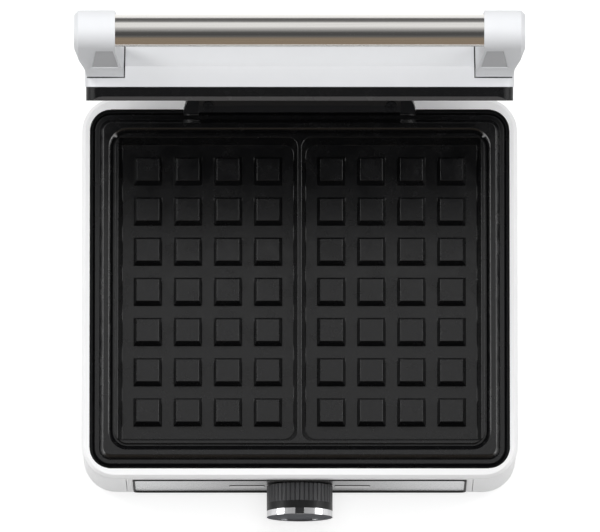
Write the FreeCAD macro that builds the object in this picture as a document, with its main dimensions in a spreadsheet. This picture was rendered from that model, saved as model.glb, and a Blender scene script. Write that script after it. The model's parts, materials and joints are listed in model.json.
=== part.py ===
"""Two-slice waffle maker with its lid standing open, as an assembly of separate pieces.

Lengths are millimetres and angles degrees. +X is to the right, +Y to the back and +Z up. The origin
lies on the table, under the middle of the open appliance. The lid's pieces are drawn closed, and one
placement about the hinge pin swings them open.
"""
import FreeCAD, Part
import math
import operator
import os

import Sketcher
from FreeCAD import Rotation, Vector

# Driving dimensions: a name, a value and what it is
DIMENSIONS = [
    ("peg_columns", 4, "pegs across one mould"),
    ("peg_rows", 7, "pegs along one mould"),
    ("column_pitch", 24.3, "from peg to peg across"),
    ("row_pitch", 24.6, "from peg to peg along"),
    ("peg_size", 17, "side of a peg at its root"),
    ("peg_height", 9.2, "height of a peg above the mould's floor"),
    ("peg_draft", 1.75, "how far a peg's side leans in over its height"),
    ("side_lane", 7, "floor between the outer pegs and the mould's long wall"),
    ("end_lane", 7.85, "floor between the outer pegs and the mould's short wall"),
    ("mould_depth", 15, "depth of a mould below the parting plane"),
    ("mould_draft", 2.5, "how far a mould's wall leans out over its depth"),
    ("mould_corner", 6, "corner radius of a mould at its mouth"),
    ("mould_floor", 3.5, "thickness of a mould's floor"),
    ("divider", 2.4, "web between the two moulds at their mouths"),
    ("lip", 1.9, "flat lip round the moulds"),
    ("moat", 1.4, "groove between the lip and the bead"),
    ("bead_width", 8, "rounded bead round the lower plate"),
    ("bead_bevel", 2.5, "bevel of the bead's top edges"),
    ("bead_rise", 0.2, "height of the bead above the parting plane"),
    ("ledge", 4, "flat edge of the lower plate outside the bead"),
    ("ledge_drop", 3, "how far that edge lies below the parting plane"),
    ("flange", 4, "thickness of the plates' edges"),
    ("plate_corner", 11, "corner radius of the lower plate"),
    ("plate_bevel", 1.4, "bevel of the lower plate's rim"),
    ("plate_gap", 1.7, "gap between the lower plate and the bezel"),
    ("plate_y", -5.2, "middle of the plates, back from the origin"),
    ("bezel_side", 4.9, "bezel's width at the sides"),
    ("bezel_front", 6.1, "bezel's width at the front"),
    ("bezel_back", 7.4, "bezel's width at the back"),
    ("bezel_height", 8, "height of the bezel"),
    ("bezel_corner", 20.5, "outer corner radius of the bezel"),
    ("bezel_bevel", 2, "bevel of the bezel's outer top edge"),
    ("shelf_reach", 9, "how far the bezel's shelf reaches in under the plate"),
    ("plate_screw_y", 60, "lower plate's screws from its middle"),
    ("shelf_drop", 2, "how far the shelf hangs below the bezel"),
    ("foot_height", 5, "height of the rubber feet"),
    ("foot_diameter", 18, "rubber foot at its top"),
    ("foot_inset", 30, "feet in from the housing's sides"),
    ("foot_plug", 6, "diameter of the plug that holds a foot"),
    ("body_height", 65, "height of the base housing"),
    ("body_inset", 0.5, "housing set in from the bezel"),
    ("body_wall", 3, "wall of the base housing"),
    ("body_bevel", 2, "bevel of the housing's bottom edge"),
    ("cover_thickness", 2.5, "bottom cover"),
    ("boss_size", 9, "side of the screw bosses"),
    ("boss_inset", 9, "bottom screws in from the housing's inner wall"),
    ("boss_height", 40, "height of the corner bosses"),
    ("screw_diameter", 3.5, "shank of the casing screws"),
    ("screw_head", 6.4, "head of the casing screws"),
    ("screw_head_height", 2.2, "height of such a head"),
    ("screw_length", 12, "shank length of the casing screws"),
    ("screw_clearance", 0.1, "gap round a screw's shank"),
    ("vent_length", 46, "length of a vent slot in the bottom cover"),
    ("vent_width", 4, "width of a vent slot"),
    ("vent_pitch", 11, "from vent slot to vent slot"),
    ("vent_count", 9, "vent slots in the bottom cover"),
    ("fit_gap", 0.3, "gap between pieces that are set into one another"),
    ("seat_gap", 0.2, "gap between pieces that are laid on one another"),
    ("spare", 1, "how far a cut runs on past the solid"),
    ("fascia_margin", 5, "fascia beside the control panel, each side"),
    ("fascia_sill", 3, "housing left below the fascia"),
    ("panel_width", 200, "control panel"),
    ("panel_height", 55.6, "control panel"),
    ("panel_corner", 3, "corner radius of the control panel"),
    ("panel_thickness", 1.2, "control panel"),
    ("panel_frame", 1.5, "fascia left above the panel's shadow gap"),
    ("shadow_gap", 1.2, "dark gap round the control panel"),
    ("gasket_thickness", 0.8, "black gasket behind the panel"),
    ("gasket_bearing", 5, "gasket held behind the fascia's window, each side"),
    ("lens_start", 21.5, "inner end of a pilot lens from the knob's axis"),
    ("lens_length", 21, "pilot lens"),
    ("lens_height", 4.5, "pilot lens"),
    ("lens_proud", 0.4, "pilot lens in front of the panel"),
    ("lens_drop", 4, "pilot lenses below the knob's axis"),
    ("lamp_diameter", 6, "neon pilot lamp"),
    ("lamp_length", 16, "neon pilot lamp"),
    ("knob_diameter", 40, "thermostat knob"),
    ("knob_gap", 0.7, "gap between the knob and the panel"),
    ("rib_length", 10.6, "ribbed part of the grip"),
    ("band_length", 4.7, "smooth band in front of the ribs"),
    ("ring_length", 3.7, "bright ring at the knob's front"),
    ("ring_width", 3.6, "bright ring seen from the front"),
    ("rib_count", 44, "flutes round the grip"),
    ("flute_width", 2, "width of a flute at twice its depth"),
    ("flute_depth", 0.8, "depth of a flute"),
    ("pointer_width", 5.3, "black pointer in the ring"),
    ("knob_wall", 3, "wall of the grip"),
    ("hub_diameter", 11, "knob's hub"),
    ("face_dish", 0.5, "hollow of the knob's face"),
    ("spindle_diameter", 6, "thermostat spindle"),
    ("spindle_flat", 1.5, "depth of the flat on the spindle"),
    ("running_gap", 0.05, "radial gap of a turning fit"),
    ("thermostat_width", 32, "thermostat body"),
    ("thermostat_core", 25.6, "thermostat body behind its plate, across"),
    ("thermostat_depth", 26, "thermostat body behind its plate"),
    ("thermostat_plate", 1.2, "thermostat's mounting plate"),
    ("spindle_hole", 8, "hole in the panel round the spindle"),
    ("thermostat_screw", 10, "thermostat's screws from its axis"),
    ("hinge_back", 6, "hinge axis behind the bezel's back"),
    ("hinge_rise", 8, "hinge axis above the parting plane"),
    ("stop_angle", 98, "lid's swing from closed to its stop"),
    ("rest_angle", 81, "how far the lid stands open here"),
    ("pin_diameter", 5, "hinge pin"),
    ("barrel_diameter", 12, "hinge knuckles"),
    ("bracket_width", 122.6, "hinge bracket"),
    ("arm_width", 6, "lid's hinge arms"),
    ("arm_gap", 0.4, "gap beside a hinge arm"),
    ("arm_flange", 26, "width of a hinge arm's flange on the lid"),
    ("arm_flange_thickness", 3, "that flange"),
    ("arm_screw", 8.8, "hinge arm's screws from its middle"),
    ("heel_length", 13, "stop heel of a hinge arm"),
    ("heel_thickness", 9.5, "stop heel of a hinge arm"),
    ("stop_gap", 0.3, "gap left at the lid's open stop"),
    ("notch_slant", 3, "lean of the ends of the bezel's hinge notch"),
    ("bracket_screw_x", 55.5, "hinge screws out from the middle"),
    ("recess_span", 4, "cross recess of the hinge screws"),
    ("recess_width", 1.2, "one slot of that recess"),
    ("bracket_step", 4, "flat top of the hinge bracket behind its front edge"),
    ("tray_step", 5.5, "how far the bracket's ends lie below its top"),
    ("clip_size", 10, "side of the push-on clips on the hinge pin"),
    ("clip_thickness", 1, "clips on the hinge pin"),
    ("lid_gap", 0.4, "gap between the plates when closed"),
    ("lid_edge", 8.2, "height of the upper plate's black edge"),
    ("lid_edge_bevel", 2.5, "bevel along the front of the upper plate's rim"),
    ("lid_edge_inset", 0.6, "upper plate's edge set in from the lid shell"),
    ("lid_inset", 0.1, "lid shell set in from the bezel's opening"),
    ("lid_corner", 11, "corner radius of the lid shell"),
    ("lid_crease", 20.8, "top of the lid's upright skirt above the parting plane"),
    ("lid_height", 37.5, "top of the lid above the parting plane"),
    ("lid_slope_run", 30, "how far the lid's slope runs in"),
    ("lid_wall", 2.5, "wall of the lid shell"),
    ("lug_width", 12, "upper plate's lugs behind the handle brackets"),
    ("lug_thickness", 4, "upper plate's lugs inside the skirt"),
    ("lug_drop", 1.8, "lugs' top below the lid's crease"),
    ("tube_diameter", 19.3, "handle tube"),
    ("tube_wall", 1.2, "handle tube"),
    ("tube_reach", 34, "handle tube's axis in front of the lid"),
    ("tube_rise", 42, "handle tube's axis above the parting plane"),
    ("tube_gap", 0.1, "gap between the tube and its sockets"),
    ("grip_span", 217.2, "free length of the tube"),
    ("socket_wall", 2.1, "bracket's wall round the tube"),
    ("socket_length", 24.2, "bracket's socket along the tube"),
    ("socket_end", 4, "closed end of a socket"),
    ("socket_bevel", 2.5, "bevel of a socket's outer end"),
    ("foot_inner", 103.9, "bracket's foot, inner side from the middle"),
    ("foot_outer", 125.5, "bracket's foot, outer side from the middle"),
    ("foot_rise", 14.6, "bracket's foot above the parting plane"),
    ("foot_reach", 1.6, "foot's lower edge in front of the lid"),
    ("strip_reach", 7, "edge between the foot's strip and the underside"),
    ("strut_angle", 20.8, "slope of the bracket's underside"),
    ("crest_angle", 24, "slope of the bracket's top"),
    ("flare_reach", 32, "where the bracket reaches its full width"),
    ("element_size", 6.5, "side of the pressed heating element"),
    ("element_width", 170, "heating loop across"),
    ("element_gap", 4.2, "gap between the reflector posts and the loop's front"),
    ("element_bend", 16, "bend radius of the heating element's middle"),
    ("terminal_length", 12, "element's ends behind the tray"),
    ("post_size", 9, "side of the plates' reflector posts"),
    ("post_height", 9.5, "height of the plates' reflector posts"),
    ("post_x", 45, "posts from the middle"),
    ("post_y", 28, "posts from the middle"),
    ("stake_size", 5, "side of the stake that holds the reflector on a post"),
    ("stake_length", 1.6, "that stake"),
    ("tray_room", 7, "room between the heating loop and the tray's side walls"),
    ("tray_depth", 128, "reflector tray"),
    ("tray_height", 7, "reflector tray"),
    ("tray_sheet", 0.8, "reflector's sheet"),
    ("fuse_length", 24, "thermal fuse"),
    ("fuse_diameter", 7, "thermal fuse"),
    ("fuse_saddle", 11, "width of the fuse's saddle"),
    ("block_width", 36, "terminal block"),
    ("block_depth", 18, "terminal block"),
    ("block_height", 15, "terminal block"),
    ("gland_rise", 12, "cord gland's axis above the housing's bottom"),
    ("gland_neck", 13, "side of the gland's neck in the wall"),
    ("gland_flange", 19, "side of the gland's flanges"),
    ("gland_flange_thickness", 2.5, "gland's flanges"),
    ("cord_bore", 7.4, "bore for the mains lead"),
]

OPERATORS = {"+": operator.add, "-": operator.sub, "*": operator.mul, "/": operator.truediv}
NORMAL_SIGN = {"XY_Plane": 1, "XZ_Plane": -1, "YZ_Plane": 1}
LEFT_AND_RIGHT = (-1, 1)
FEW_SIDES = 6
MORE_SIDES = 12
FAR = 400
TOUCH = 1e-4


class Size:
    """A length, angle or count: its value now, and the expression that ties it to the sheet."""

    def __init__(self, value, text):
        self.value = value
        self.text = text

    def __add__(self, other):
        return combined(self, "+", other)

    def __radd__(self, other):
        return combined(other, "+", self)

    def __sub__(self, other):
        return combined(self, "-", other)

    def __rsub__(self, other):
        return combined(other, "-", self)

    def __mul__(self, other):
        return combined(self, "*", other)

    def __rmul__(self, other):
        return combined(other, "*", self)

    def __truediv__(self, other):
        return combined(self, "/", other)

    def __neg__(self):
        return combined(-1, "*", self)


def as_size(number):
    if isinstance(number, Size):
        return number
    return Size(float(number), repr(float(number)))


def combined(left, sign, right):
    left = as_size(left)
    right = as_size(right)
    value = OPERATORS[sign](left.value, right.value)
    return Size(value, "(%s %s %s)" % (left.text, sign, right.text))


def sine(angle):
    return Size(math.sin(math.radians(angle.value)), "sin(%s)" % angle.text)


def cosine(angle):
    return Size(math.cos(math.radians(angle.value)), "cos(%s)" % angle.text)


class Sheet:
    """The driving dimensions, each kept in an aliased cell and handed on as a Size."""

    def __init__(self, document):
        self.cells = document.addObject("Spreadsheet::Sheet", "dims")
        for row, (name, value, meaning) in enumerate(DIMENSIONS, start=1):
            self.cells.set("A%d" % row, str(value))
            self.cells.setAlias("A%d" % row, name)
            self.cells.set("B%d" % row, meaning)
            setattr(self, name, Size(float(value), "dims." + name))
        document.recompute()


doc = FreeCAD.newDocument("waffle_maker")
d = Sheet(doc)
pieces = []

# Sizes that follow from the driving ones
mould_width = (d.peg_columns - 1) * d.column_pitch + d.peg_size + 2 * d.side_lane + 2 * d.mould_draft
mould_length = (d.peg_rows - 1) * d.row_pitch + d.peg_size + 2 * d.end_lane + 2 * d.mould_draft
mould_x = (mould_width + d.divider) / 2
pan_width = 2 * mould_width + d.divider + 2 * d.lip
pan_length = mould_length + 2 * d.lip
pan_corner = d.mould_corner + d.lip
pan_thickness = d.mould_depth + d.mould_floor
border = d.moat + d.bead_width + d.ledge
plate_width = pan_width + 2 * border
plate_length = pan_length + 2 * border
opening_width = plate_width + 2 * d.plate_gap
opening_length = plate_length + 2 * d.plate_gap
opening_corner = d.plate_corner + d.plate_gap
base_width = opening_width + 2 * d.bezel_side
base_length = opening_length + d.bezel_front + d.bezel_back
base_front = d.plate_y - opening_length / 2 - d.bezel_front
base_back = d.plate_y + opening_length / 2 + d.bezel_back
base_y = (base_front + base_back) / 2
plate_back = d.plate_y + plate_length / 2
body_width = base_width - 2 * d.body_inset
body_length = base_length - 2 * d.body_inset
body_corner = d.bezel_corner - d.body_inset
room_width = body_width - 2 * d.body_wall
room_length = body_length - 2 * d.body_wall
room_corner = body_corner - d.body_wall
body_front = base_front + d.body_inset
body_back = base_back - d.body_inset
body_top = d.foot_height + d.body_height
parting = body_top + d.bezel_height
shelf_bottom = body_top - d.shelf_drop
shelf_top = parting - d.ledge_drop - d.flange - d.seat_gap
cover_top = d.foot_height + d.cover_thickness
tray_width = d.element_width + d.element_size + 2 * (d.tray_room + d.tray_sheet)

lid_bottom = parting + d.lid_gap + d.lid_edge
lid_width = opening_width - 2 * d.lid_inset
lid_length = opening_length - 2 * d.lid_inset
lid_front = d.plate_y - lid_length / 2
lid_back = d.plate_y + lid_length / 2
hinge_y = base_back + d.hinge_back
hinge_z = parting + d.hinge_rise
tube_y = lid_front - d.tube_reach
tube_z = parting + d.tube_rise
arm_x = d.bracket_width / 2 + d.arm_gap + d.arm_width / 2
clip_x = arm_x + d.arm_width / 2 + d.arm_gap
notch_width = d.bracket_width + 2 * d.arm_width + 4 * d.arm_gap

panel_top = body_top - d.fit_gap - d.panel_frame - d.shadow_gap
knob_z = panel_top - d.panel_height / 2
lens_z = knob_z - d.lens_drop
fascia_width = d.panel_width + 2 * d.fascia_margin
fascia_bottom = d.foot_height + d.fascia_sill
gasket_front = body_front + d.panel_thickness
gasket_back = gasket_front + d.gasket_thickness
spindle_bore = d.spindle_diameter + 2 * d.running_gap


# Drawing and features

def bind(thing, name, size):
    """Tie a property to the sheet."""
    thing.setExpression(name, as_size(size).text)


def new_body(label, several=False):
    body = doc.addObject("PartDesign::Body", label)
    body.Label = label
    body.AllowCompound = several
    pieces.append(body)
    return body


def origin_part(body, role):
    return next(feature for feature in body.Origin.OriginFeatures if feature.Role == role)


def new_sketch(body, plane, level):
    """An empty sketch square to an axis, at that level along the axis."""
    sketch = body.newObject("Sketcher::SketchObject", "Sketch")
    sketch.AttachmentSupport = [(origin_part(body, plane), "")]
    sketch.MapMode = "FlatFace"
    bind(sketch, "AttachmentOffset.Base.z", NORMAL_SIGN[plane] * as_size(level))
    return sketch


class Pencil:
    """Collects a sketch's lines and rules, and ties its dimensions to the sheet."""

    def __init__(self, sketch):
        self.sketch = sketch
        self.rules = []
        self.ties = []

    def line(self, geometry, construction=False):
        return self.sketch.addGeometry(geometry, construction)

    def rule(self, kind, *where):
        self.rules.append(Sketcher.Constraint(kind, *where))

    def size(self, kind, size, *where):
        size = as_size(size)
        self.ties.append((len(self.rules), size.text))
        self.rule(kind, *where, size.value)

    def place(self, geometry, end, across, up):
        """Fix one end of a line, or a centre, by its distances from the sketch's origin."""
        self.size("DistanceX", across, -1, 1, geometry, end)
        self.size("DistanceY", up, -1, 1, geometry, end)

    def done(self):
        self.sketch.addConstraint(self.rules)
        for index, text in self.ties:
            self.sketch.setExpression("Constraints[%d]" % index, text)


class Corner:
    """A corner of an outline: its place, its rounding, and where the rounding starts and ends."""

    def __init__(self, across, up, radius=None):
        self.across = as_size(across)
        self.up = as_size(up)
        self.radius = radius
        self.spot = Vector(self.across.value, self.up.value, 0)

    def trim(self, before, after):
        self.entry = self.spot
        self.leave = self.spot
        if self.radius is None:
            return
        back = (before.spot - self.spot).normalize()
        ahead = (after.spot - self.spot).normalize()
        half_turn = back.getAngle(ahead) / 2
        reach = self.radius.value / math.tan(half_turn)
        self.entry = self.spot + back * reach
        self.leave = self.spot + ahead * reach
        self.centre = self.spot + (back + ahead).normalize() * (self.radius.value / math.sin(half_turn))
        self.turns_left = (self.spot - before.spot).cross(after.spot - self.spot).z > 0

    def arc(self):
        first, last = (self.entry, self.leave) if self.turns_left else (self.leave, self.entry)
        start = math.atan2(first.y - self.centre.y, first.x - self.centre.x)
        end = math.atan2(last.y - self.centre.y, last.x - self.centre.x)
        if end < start:
            end += 2 * math.pi
        circle = Part.Circle(self.centre, Vector(0, 0, 1), self.radius.value)
        return Part.ArcOfCircle(circle, start, end)


class Outline:
    """Straight sides through corners, with round corners where a radius is given."""

    def __init__(self, corners, closed=True):
        self.corners = [Corner(*corner) for corner in corners]
        self.closed = closed

    def draw(self, pencil):
        corners = self.corners
        count = len(corners)
        for index, corner in enumerate(corners):
            corner.trim(corners[index - 1], corners[(index + 1) % count])
        sides = count if self.closed else count - 1
        lines = []
        for index in range(sides):
            following = corners[(index + 1) % count]
            lines.append(pencil.line(Part.LineSegment(corners[index].leave, following.entry)))
        for index, corner in enumerate(corners):
            line_in = lines[index - 1] if self.closed or index > 0 else None
            line_out = lines[index] if index < sides else None
            if corner.radius is None:
                self.join_sharp(pencil, corner, line_in, line_out)
            else:
                self.join_round(pencil, corner, line_in, line_out)

    def join_sharp(self, pencil, corner, line_in, line_out):
        """Tie the sides that meet at a sharp corner, or the end of an open path."""
        if line_out is None:
            pencil.place(line_in, 2, corner.across, corner.up)
            return
        pencil.place(line_out, 1, corner.across, corner.up)
        if line_in is not None:
            pencil.rule("Coincident", line_in, 2, line_out, 1)

    def join_round(self, pencil, corner, line_in, line_out):
        """Tie the sides that meet at a round corner to the arc between them."""
        point = pencil.line(Part.Point(corner.spot), True)
        pencil.place(point, 1, corner.across, corner.up)
        pencil.rule("PointOnObject", point, 1, line_in)
        pencil.rule("PointOnObject", point, 1, line_out)
        arc = pencil.line(corner.arc())
        entry_end, leave_end = (1, 2) if corner.turns_left else (2, 1)
        pencil.rule("Tangent", line_in, 2, arc, entry_end)
        pencil.rule("Tangent", line_out, 1, arc, leave_end)
        pencil.size("Radius", corner.radius, arc)


class Ring:
    """A full circle."""

    def __init__(self, across, up, diameter):
        self.across = as_size(across)
        self.up = as_size(up)
        self.radius = as_size(diameter) / 2

    def draw(self, pencil):
        centre = Vector(self.across.value, self.up.value, 0)
        circle = pencil.line(Part.Circle(centre, Vector(0, 0, 1), self.radius.value))
        pencil.place(circle, 3, self.across, self.up)
        pencil.size("Radius", self.radius, circle)


class FlatRing:
    """A circle about the origin with a flat at its top."""

    def __init__(self, diameter, flat_height):
        self.radius = diameter / 2
        self.flat_height = flat_height

    def draw(self, pencil):
        rise = math.asin(self.flat_height.value / self.radius.value)
        circle = Part.Circle(Vector(), Vector(0, 0, 1), self.radius.value)
        bow = Part.ArcOfCircle(circle, math.pi - rise, 2 * math.pi + rise)
        arc = pencil.line(bow)
        flat = pencil.line(Part.LineSegment(bow.EndPoint, bow.StartPoint))
        pencil.place(arc, 3, 0, 0)
        pencil.size("Radius", self.radius, arc)
        pencil.rule("Coincident", arc, 2, flat, 1)
        pencil.rule("Coincident", flat, 2, arc, 1)
        pencil.size("DistanceY", self.flat_height, -1, 1, flat, 1)
        pencil.size("DistanceY", self.flat_height, -1, 1, flat, 2)


def box_outline(across, up, width, height, radius=None):
    """A rectangle about a middle, with round corners where a radius is given."""
    left = across - as_size(width) / 2
    right = across + as_size(width) / 2
    bottom = up - as_size(height) / 2
    top = up + as_size(height) / 2
    rounding = () if radius is None else (radius,)
    return Outline([(left, bottom) + rounding, (right, bottom) + rounding,
                    (right, top) + rounding, (left, top) + rounding])


def plain_ring(across, up, diameter, sides=FEW_SIDES):
    """A small round thing drawn with a few flat sides, to keep what is hidden or repeats light."""
    radius = as_size(diameter) / 2
    turns = [2 * math.pi * side / sides for side in range(sides)]
    return Outline([(across + math.cos(turn) * radius, up + math.sin(turn) * radius) for turn in turns])


def screw_holes(spots, diameter=None):
    """Clearance holes for screws."""
    shank = d.screw_diameter if diameter is None else diameter
    return [plain_ring(*spot, shank + 2 * d.screw_clearance) for spot in spots]


def draw_on(body, plane, level, shapes):
    sketch = new_sketch(body, plane, level)
    pencil = Pencil(sketch)
    for shape in shapes:
        shape.draw(pencil)
    pencil.done()
    return sketch


def pad(body, plane, level, length, shapes, towards=1):
    """Raise outlines from a level by a length, towards the axis's positive or negative end."""
    feature = body.newObject("PartDesign::Pad", "Pad")
    feature.Profile = draw_on(body, plane, level, shapes)
    bind(feature, "Length", length)
    feature.Reversed = towards != NORMAL_SIGN[plane]
    doc.recompute()
    return feature


def cut(body, plane, level, length, shapes, towards=1):
    """Sink outlines from a level by a length, and see that something was taken away."""
    before = body.Shape.Volume
    feature = body.newObject("PartDesign::Pocket", "Pocket")
    feature.Profile = draw_on(body, plane, level, shapes)
    bind(feature, "Length", length)
    feature.Reversed = towards == NORMAL_SIGN[plane]
    doc.recompute()
    if not body.Shape.Volume < before - TOUCH:
        raise RuntimeError("a cut in %s takes nothing away" % body.Label)
    return feature


def wedge(body, kind, low, low_box, high, high_box):
    """A block whose flat sides lean between two heights; a box is its middle in X and Y, then its sizes."""
    feature = body.newObject("PartDesign::%sWedge" % kind, "Wedge")
    feature.AttachmentSupport = [(origin_part(body, "XZ_Plane"), "")]
    feature.MapMode = "FlatFace"
    bind(feature, "Ymin", low)
    bind(feature, "Ymax", high)
    for number, (across, along, width, length) in (("", low_box), ("2", high_box)):
        bind(feature, "X%smin" % number, across - width / 2)
        bind(feature, "X%smax" % number, across + width / 2)
        bind(feature, "Z%smin" % number, -along - length / 2)
        bind(feature, "Z%smax" % number, -along + length / 2)
    doc.recompute()
    return feature


def leaning_block(body, kind, start, towards, height, middle, root, draft):
    """A block that grows narrower by its draft on each side, from its root up or down."""
    end = start + towards * height
    wide = (*middle, *root)
    narrow = (*middle, root[0] - 2 * draft, root[1] - 2 * draft)
    if towards > 0:
        return wedge(body, kind, start, wide, end, narrow)
    return wedge(body, kind, end, narrow, start, wide)


def dress_edges(body, kind, name, size, wanted):
    """Round or bevel the edges of the body so far that pass the test."""
    base = body.Tip
    names = ["Edge%d" % number for number, edge in enumerate(base.Shape.Edges, start=1) if wanted(edge)]
    if not names:
        raise RuntimeError("no edge to dress on " + body.Label)
    feature = body.newObject("PartDesign::" + kind, kind)
    feature.Base = (base, names)
    bind(feature, name, size)
    doc.recompute()
    return feature


def round_edges(body, radius, wanted):
    return dress_edges(body, "Fillet", "Radius", radius, wanted)


def bevel_edges(body, size, wanted):
    return dress_edges(body, "Chamfer", "Size", size, wanted)


def points_of(edge):
    return edge.discretize(5)


def lies_at(axis, size):
    """A test for edges that lie wholly at one level along an axis."""
    level = as_size(size).value

    def wanted(edge):
        return all(abs(getattr(point, axis) - level) < 1e-3 for point in points_of(edge))
    return wanted


def runs_between(first, second):
    """A test for edges that run from one height to another."""
    ends = sorted((first.value, second.value))

    def wanted(edge):
        heights = sorted(vertex.Z for vertex in edge.Vertexes)
        return len(heights) == 2 and all(abs(a - b) < 1e-3 for a, b in zip(heights, ends))
    return wanted


def pattern(body, feature, kind):
    repeat = body.newObject("PartDesign::" + kind, kind)
    repeat.Originals = [feature]
    return repeat


def finish_pattern(body, repeat):
    body.Tip = repeat
    doc.recompute()
    return repeat


def rows(body, feature, across, along=None):
    """Repeat a feature along X, and along Y too if asked; each direction is a count and a pitch."""
    repeat = pattern(body, feature, "LinearPattern")
    repeat.Direction = (origin_part(body, "X_Axis"), [""])
    bind(repeat, "Occurrences", across[0])
    bind(repeat, "Length", (across[0] - 1) * across[1])
    if along is not None:
        repeat.Direction2 = (origin_part(body, "Y_Axis"), [""])
        bind(repeat, "Occurrences2", along[0])
        bind(repeat, "Length2", (along[0] - 1) * along[1])
    return finish_pattern(body, repeat)


def move(body, x, y, z):
    bind(body, "Placement.Base.x", x)
    bind(body, "Placement.Base.y", y)
    bind(body, "Placement.Base.z", z)


def swing_open(body):
    """Turn a piece of the lid, drawn closed, about the hinge pin to where the lid stands open."""
    turn = "create(<<rotation>>; create(<<vector>>; 1; 0; 0); -1 * %s)" % d.rest_angle.text
    pivot = "create(<<vector>>; 0; %s; %s)" % (hinge_y.text, hinge_z.text)
    nowhere = "create(<<vector>>; 0; 0; 0)"
    body.setExpression("Placement", "create(<<placement>>; %s; %s; %s)" % (nowhere, turn, pivot))


def four_corners(middle_y, half_width, half_length):
    return [(across * half_width, middle_y + along * half_length)
            for across in LEFT_AND_RIGHT for along in LEFT_AND_RIGHT]


def screws(label, plane, seat, towards, spots, shank=d.screw_length, head_sides=FEW_SIDES):
    """Screws whose heads stand on one level and whose shanks run on from it."""
    body = new_body(label, several=True)
    heads = [plain_ring(*spot, d.screw_head, head_sides) for spot in spots]
    pad(body, plane, seat, d.screw_head_height, heads, -towards)
    pad(body, plane, seat, shank, [plain_ring(*spot, d.screw_diameter) for spot in spots], towards)
    return body


# Waffle plates

def mould_block(body, mating, side):
    """The thick middle of a plate, which lies below (side -1) or above (side 1) its mating plane."""
    outer = box_outline(0, d.plate_y, pan_width, pan_length, pan_corner)
    pad(body, "XY_Plane", mating, pan_thickness, [outer], side)
    reflector_posts(body, mating, side)


def moulds(body, mating, side):
    """Two moulds sunk into the block from the mating plane, with their pegs."""
    floor = mating + side * d.mould_depth
    for across in LEFT_AND_RIGHT:
        leaning_block(body, "Subtractive", mating, side, d.mould_depth, (across * mould_x, d.plate_y),
                      (mould_width, mould_length), d.mould_draft)
    round_edges(body, d.mould_corner, runs_between(mating, floor))
    first_column = (d.peg_columns - 1) * d.column_pitch / 2
    first_row = d.plate_y - (d.peg_rows - 1) * d.row_pitch / 2
    for across in LEFT_AND_RIGHT:
        first = (across * mould_x - first_column, first_row)
        peg = leaning_block(body, "Additive", floor, -side, d.peg_height, first, (d.peg_size, d.peg_size),
                            d.peg_draft)
        rows(body, peg, (d.peg_columns, d.column_pitch), (d.peg_rows, d.row_pitch))


def post_spots():
    return four_corners(d.plate_y, d.post_x, d.post_y)


def reflector_posts(body, mating, side):
    """Posts behind the moulds that carry the reflector, each with a stake through the sheet."""
    back = mating + side * pan_thickness
    end = back + side * d.post_height
    pad(body, "XY_Plane", back, d.post_height,
        [box_outline(*spot, d.post_size, d.post_size) for spot in post_spots()], side)
    pad(body, "XY_Plane", end, d.stake_length,
        [box_outline(*spot, d.stake_size, d.stake_size) for spot in post_spots()], side)


def lower_plate():
    body = new_body("lower_plate")
    ledge_top = parting - d.ledge_drop
    edge = box_outline(0, d.plate_y, plate_width, plate_length, d.plate_corner)
    pad(body, "XY_Plane", ledge_top, d.flange, [edge], -1)
    bevel_edges(body, d.plate_bevel, lies_at("z", ledge_top))
    outside = 2 * d.ledge
    inside = 2 * (d.ledge + d.bead_width)
    bead = [box_outline(0, d.plate_y, plate_width - outside, plate_length - outside,
                        d.plate_corner - d.ledge),
            box_outline(0, d.plate_y, plate_width - inside, plate_length - inside, pan_corner + d.moat)]
    pad(body, "XY_Plane", ledge_top, d.ledge_drop + d.bead_rise, bead)
    bevel_edges(body, d.bead_bevel, lies_at("z", parting + d.bead_rise))
    cut(body, "XY_Plane", ledge_top - d.flange, d.flange - d.tray_sheet, screw_holes(plate_screw_spots()))
    mould_block(body, parting, -1)
    moulds(body, parting, -1)
    return body


def plate_screw_spots():
    across = (opening_width / 2 - d.shelf_reach + plate_width / 2) / 2
    return four_corners(d.plate_y, across, d.plate_screw_y)


def lower_plate_screws():
    """Screws up through the bezel's shelf into the plate's edge."""
    shank = shelf_top - shelf_bottom + d.seat_gap + d.flange - 2 * d.tray_sheet
    return screws("lower_plate_screws", "XY_Plane", shelf_bottom, 1, plate_screw_spots(), shank=shank)


def upper_plate():
    """Like the lower plate turned over, with a deep edge that stands out under the lid's skirt."""
    body = new_body("upper_plate")
    mating = parting + d.lid_gap
    width = lid_width - 2 * d.lid_edge_inset
    length = lid_length - 2 * d.lid_edge_inset
    corner = d.lid_corner - d.lid_edge_inset
    pad(body, "XY_Plane", mating, d.lid_edge, [box_outline(0, d.plate_y, width, length, corner)])
    front = d.plate_y - length / 2
    low = mating - d.spare
    rise = d.lid_edge_bevel + d.spare
    bevel = Outline([(front - d.spare, low), (front + rise, low), (front - d.spare, low + d.spare + rise)])
    cut(body, "YZ_Plane", -width / 2, width, [bevel])
    inside = 2 * d.flange
    hollow = box_outline(0, d.plate_y, width - inside, length - inside)
    cut(body, "XY_Plane", lid_bottom, d.lid_edge - d.flange, [hollow], -1)
    plate_lugs(body, mating)
    mould_block(body, mating, 1)
    moulds(body, mating, 1)
    swing_open(body)
    return body


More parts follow.
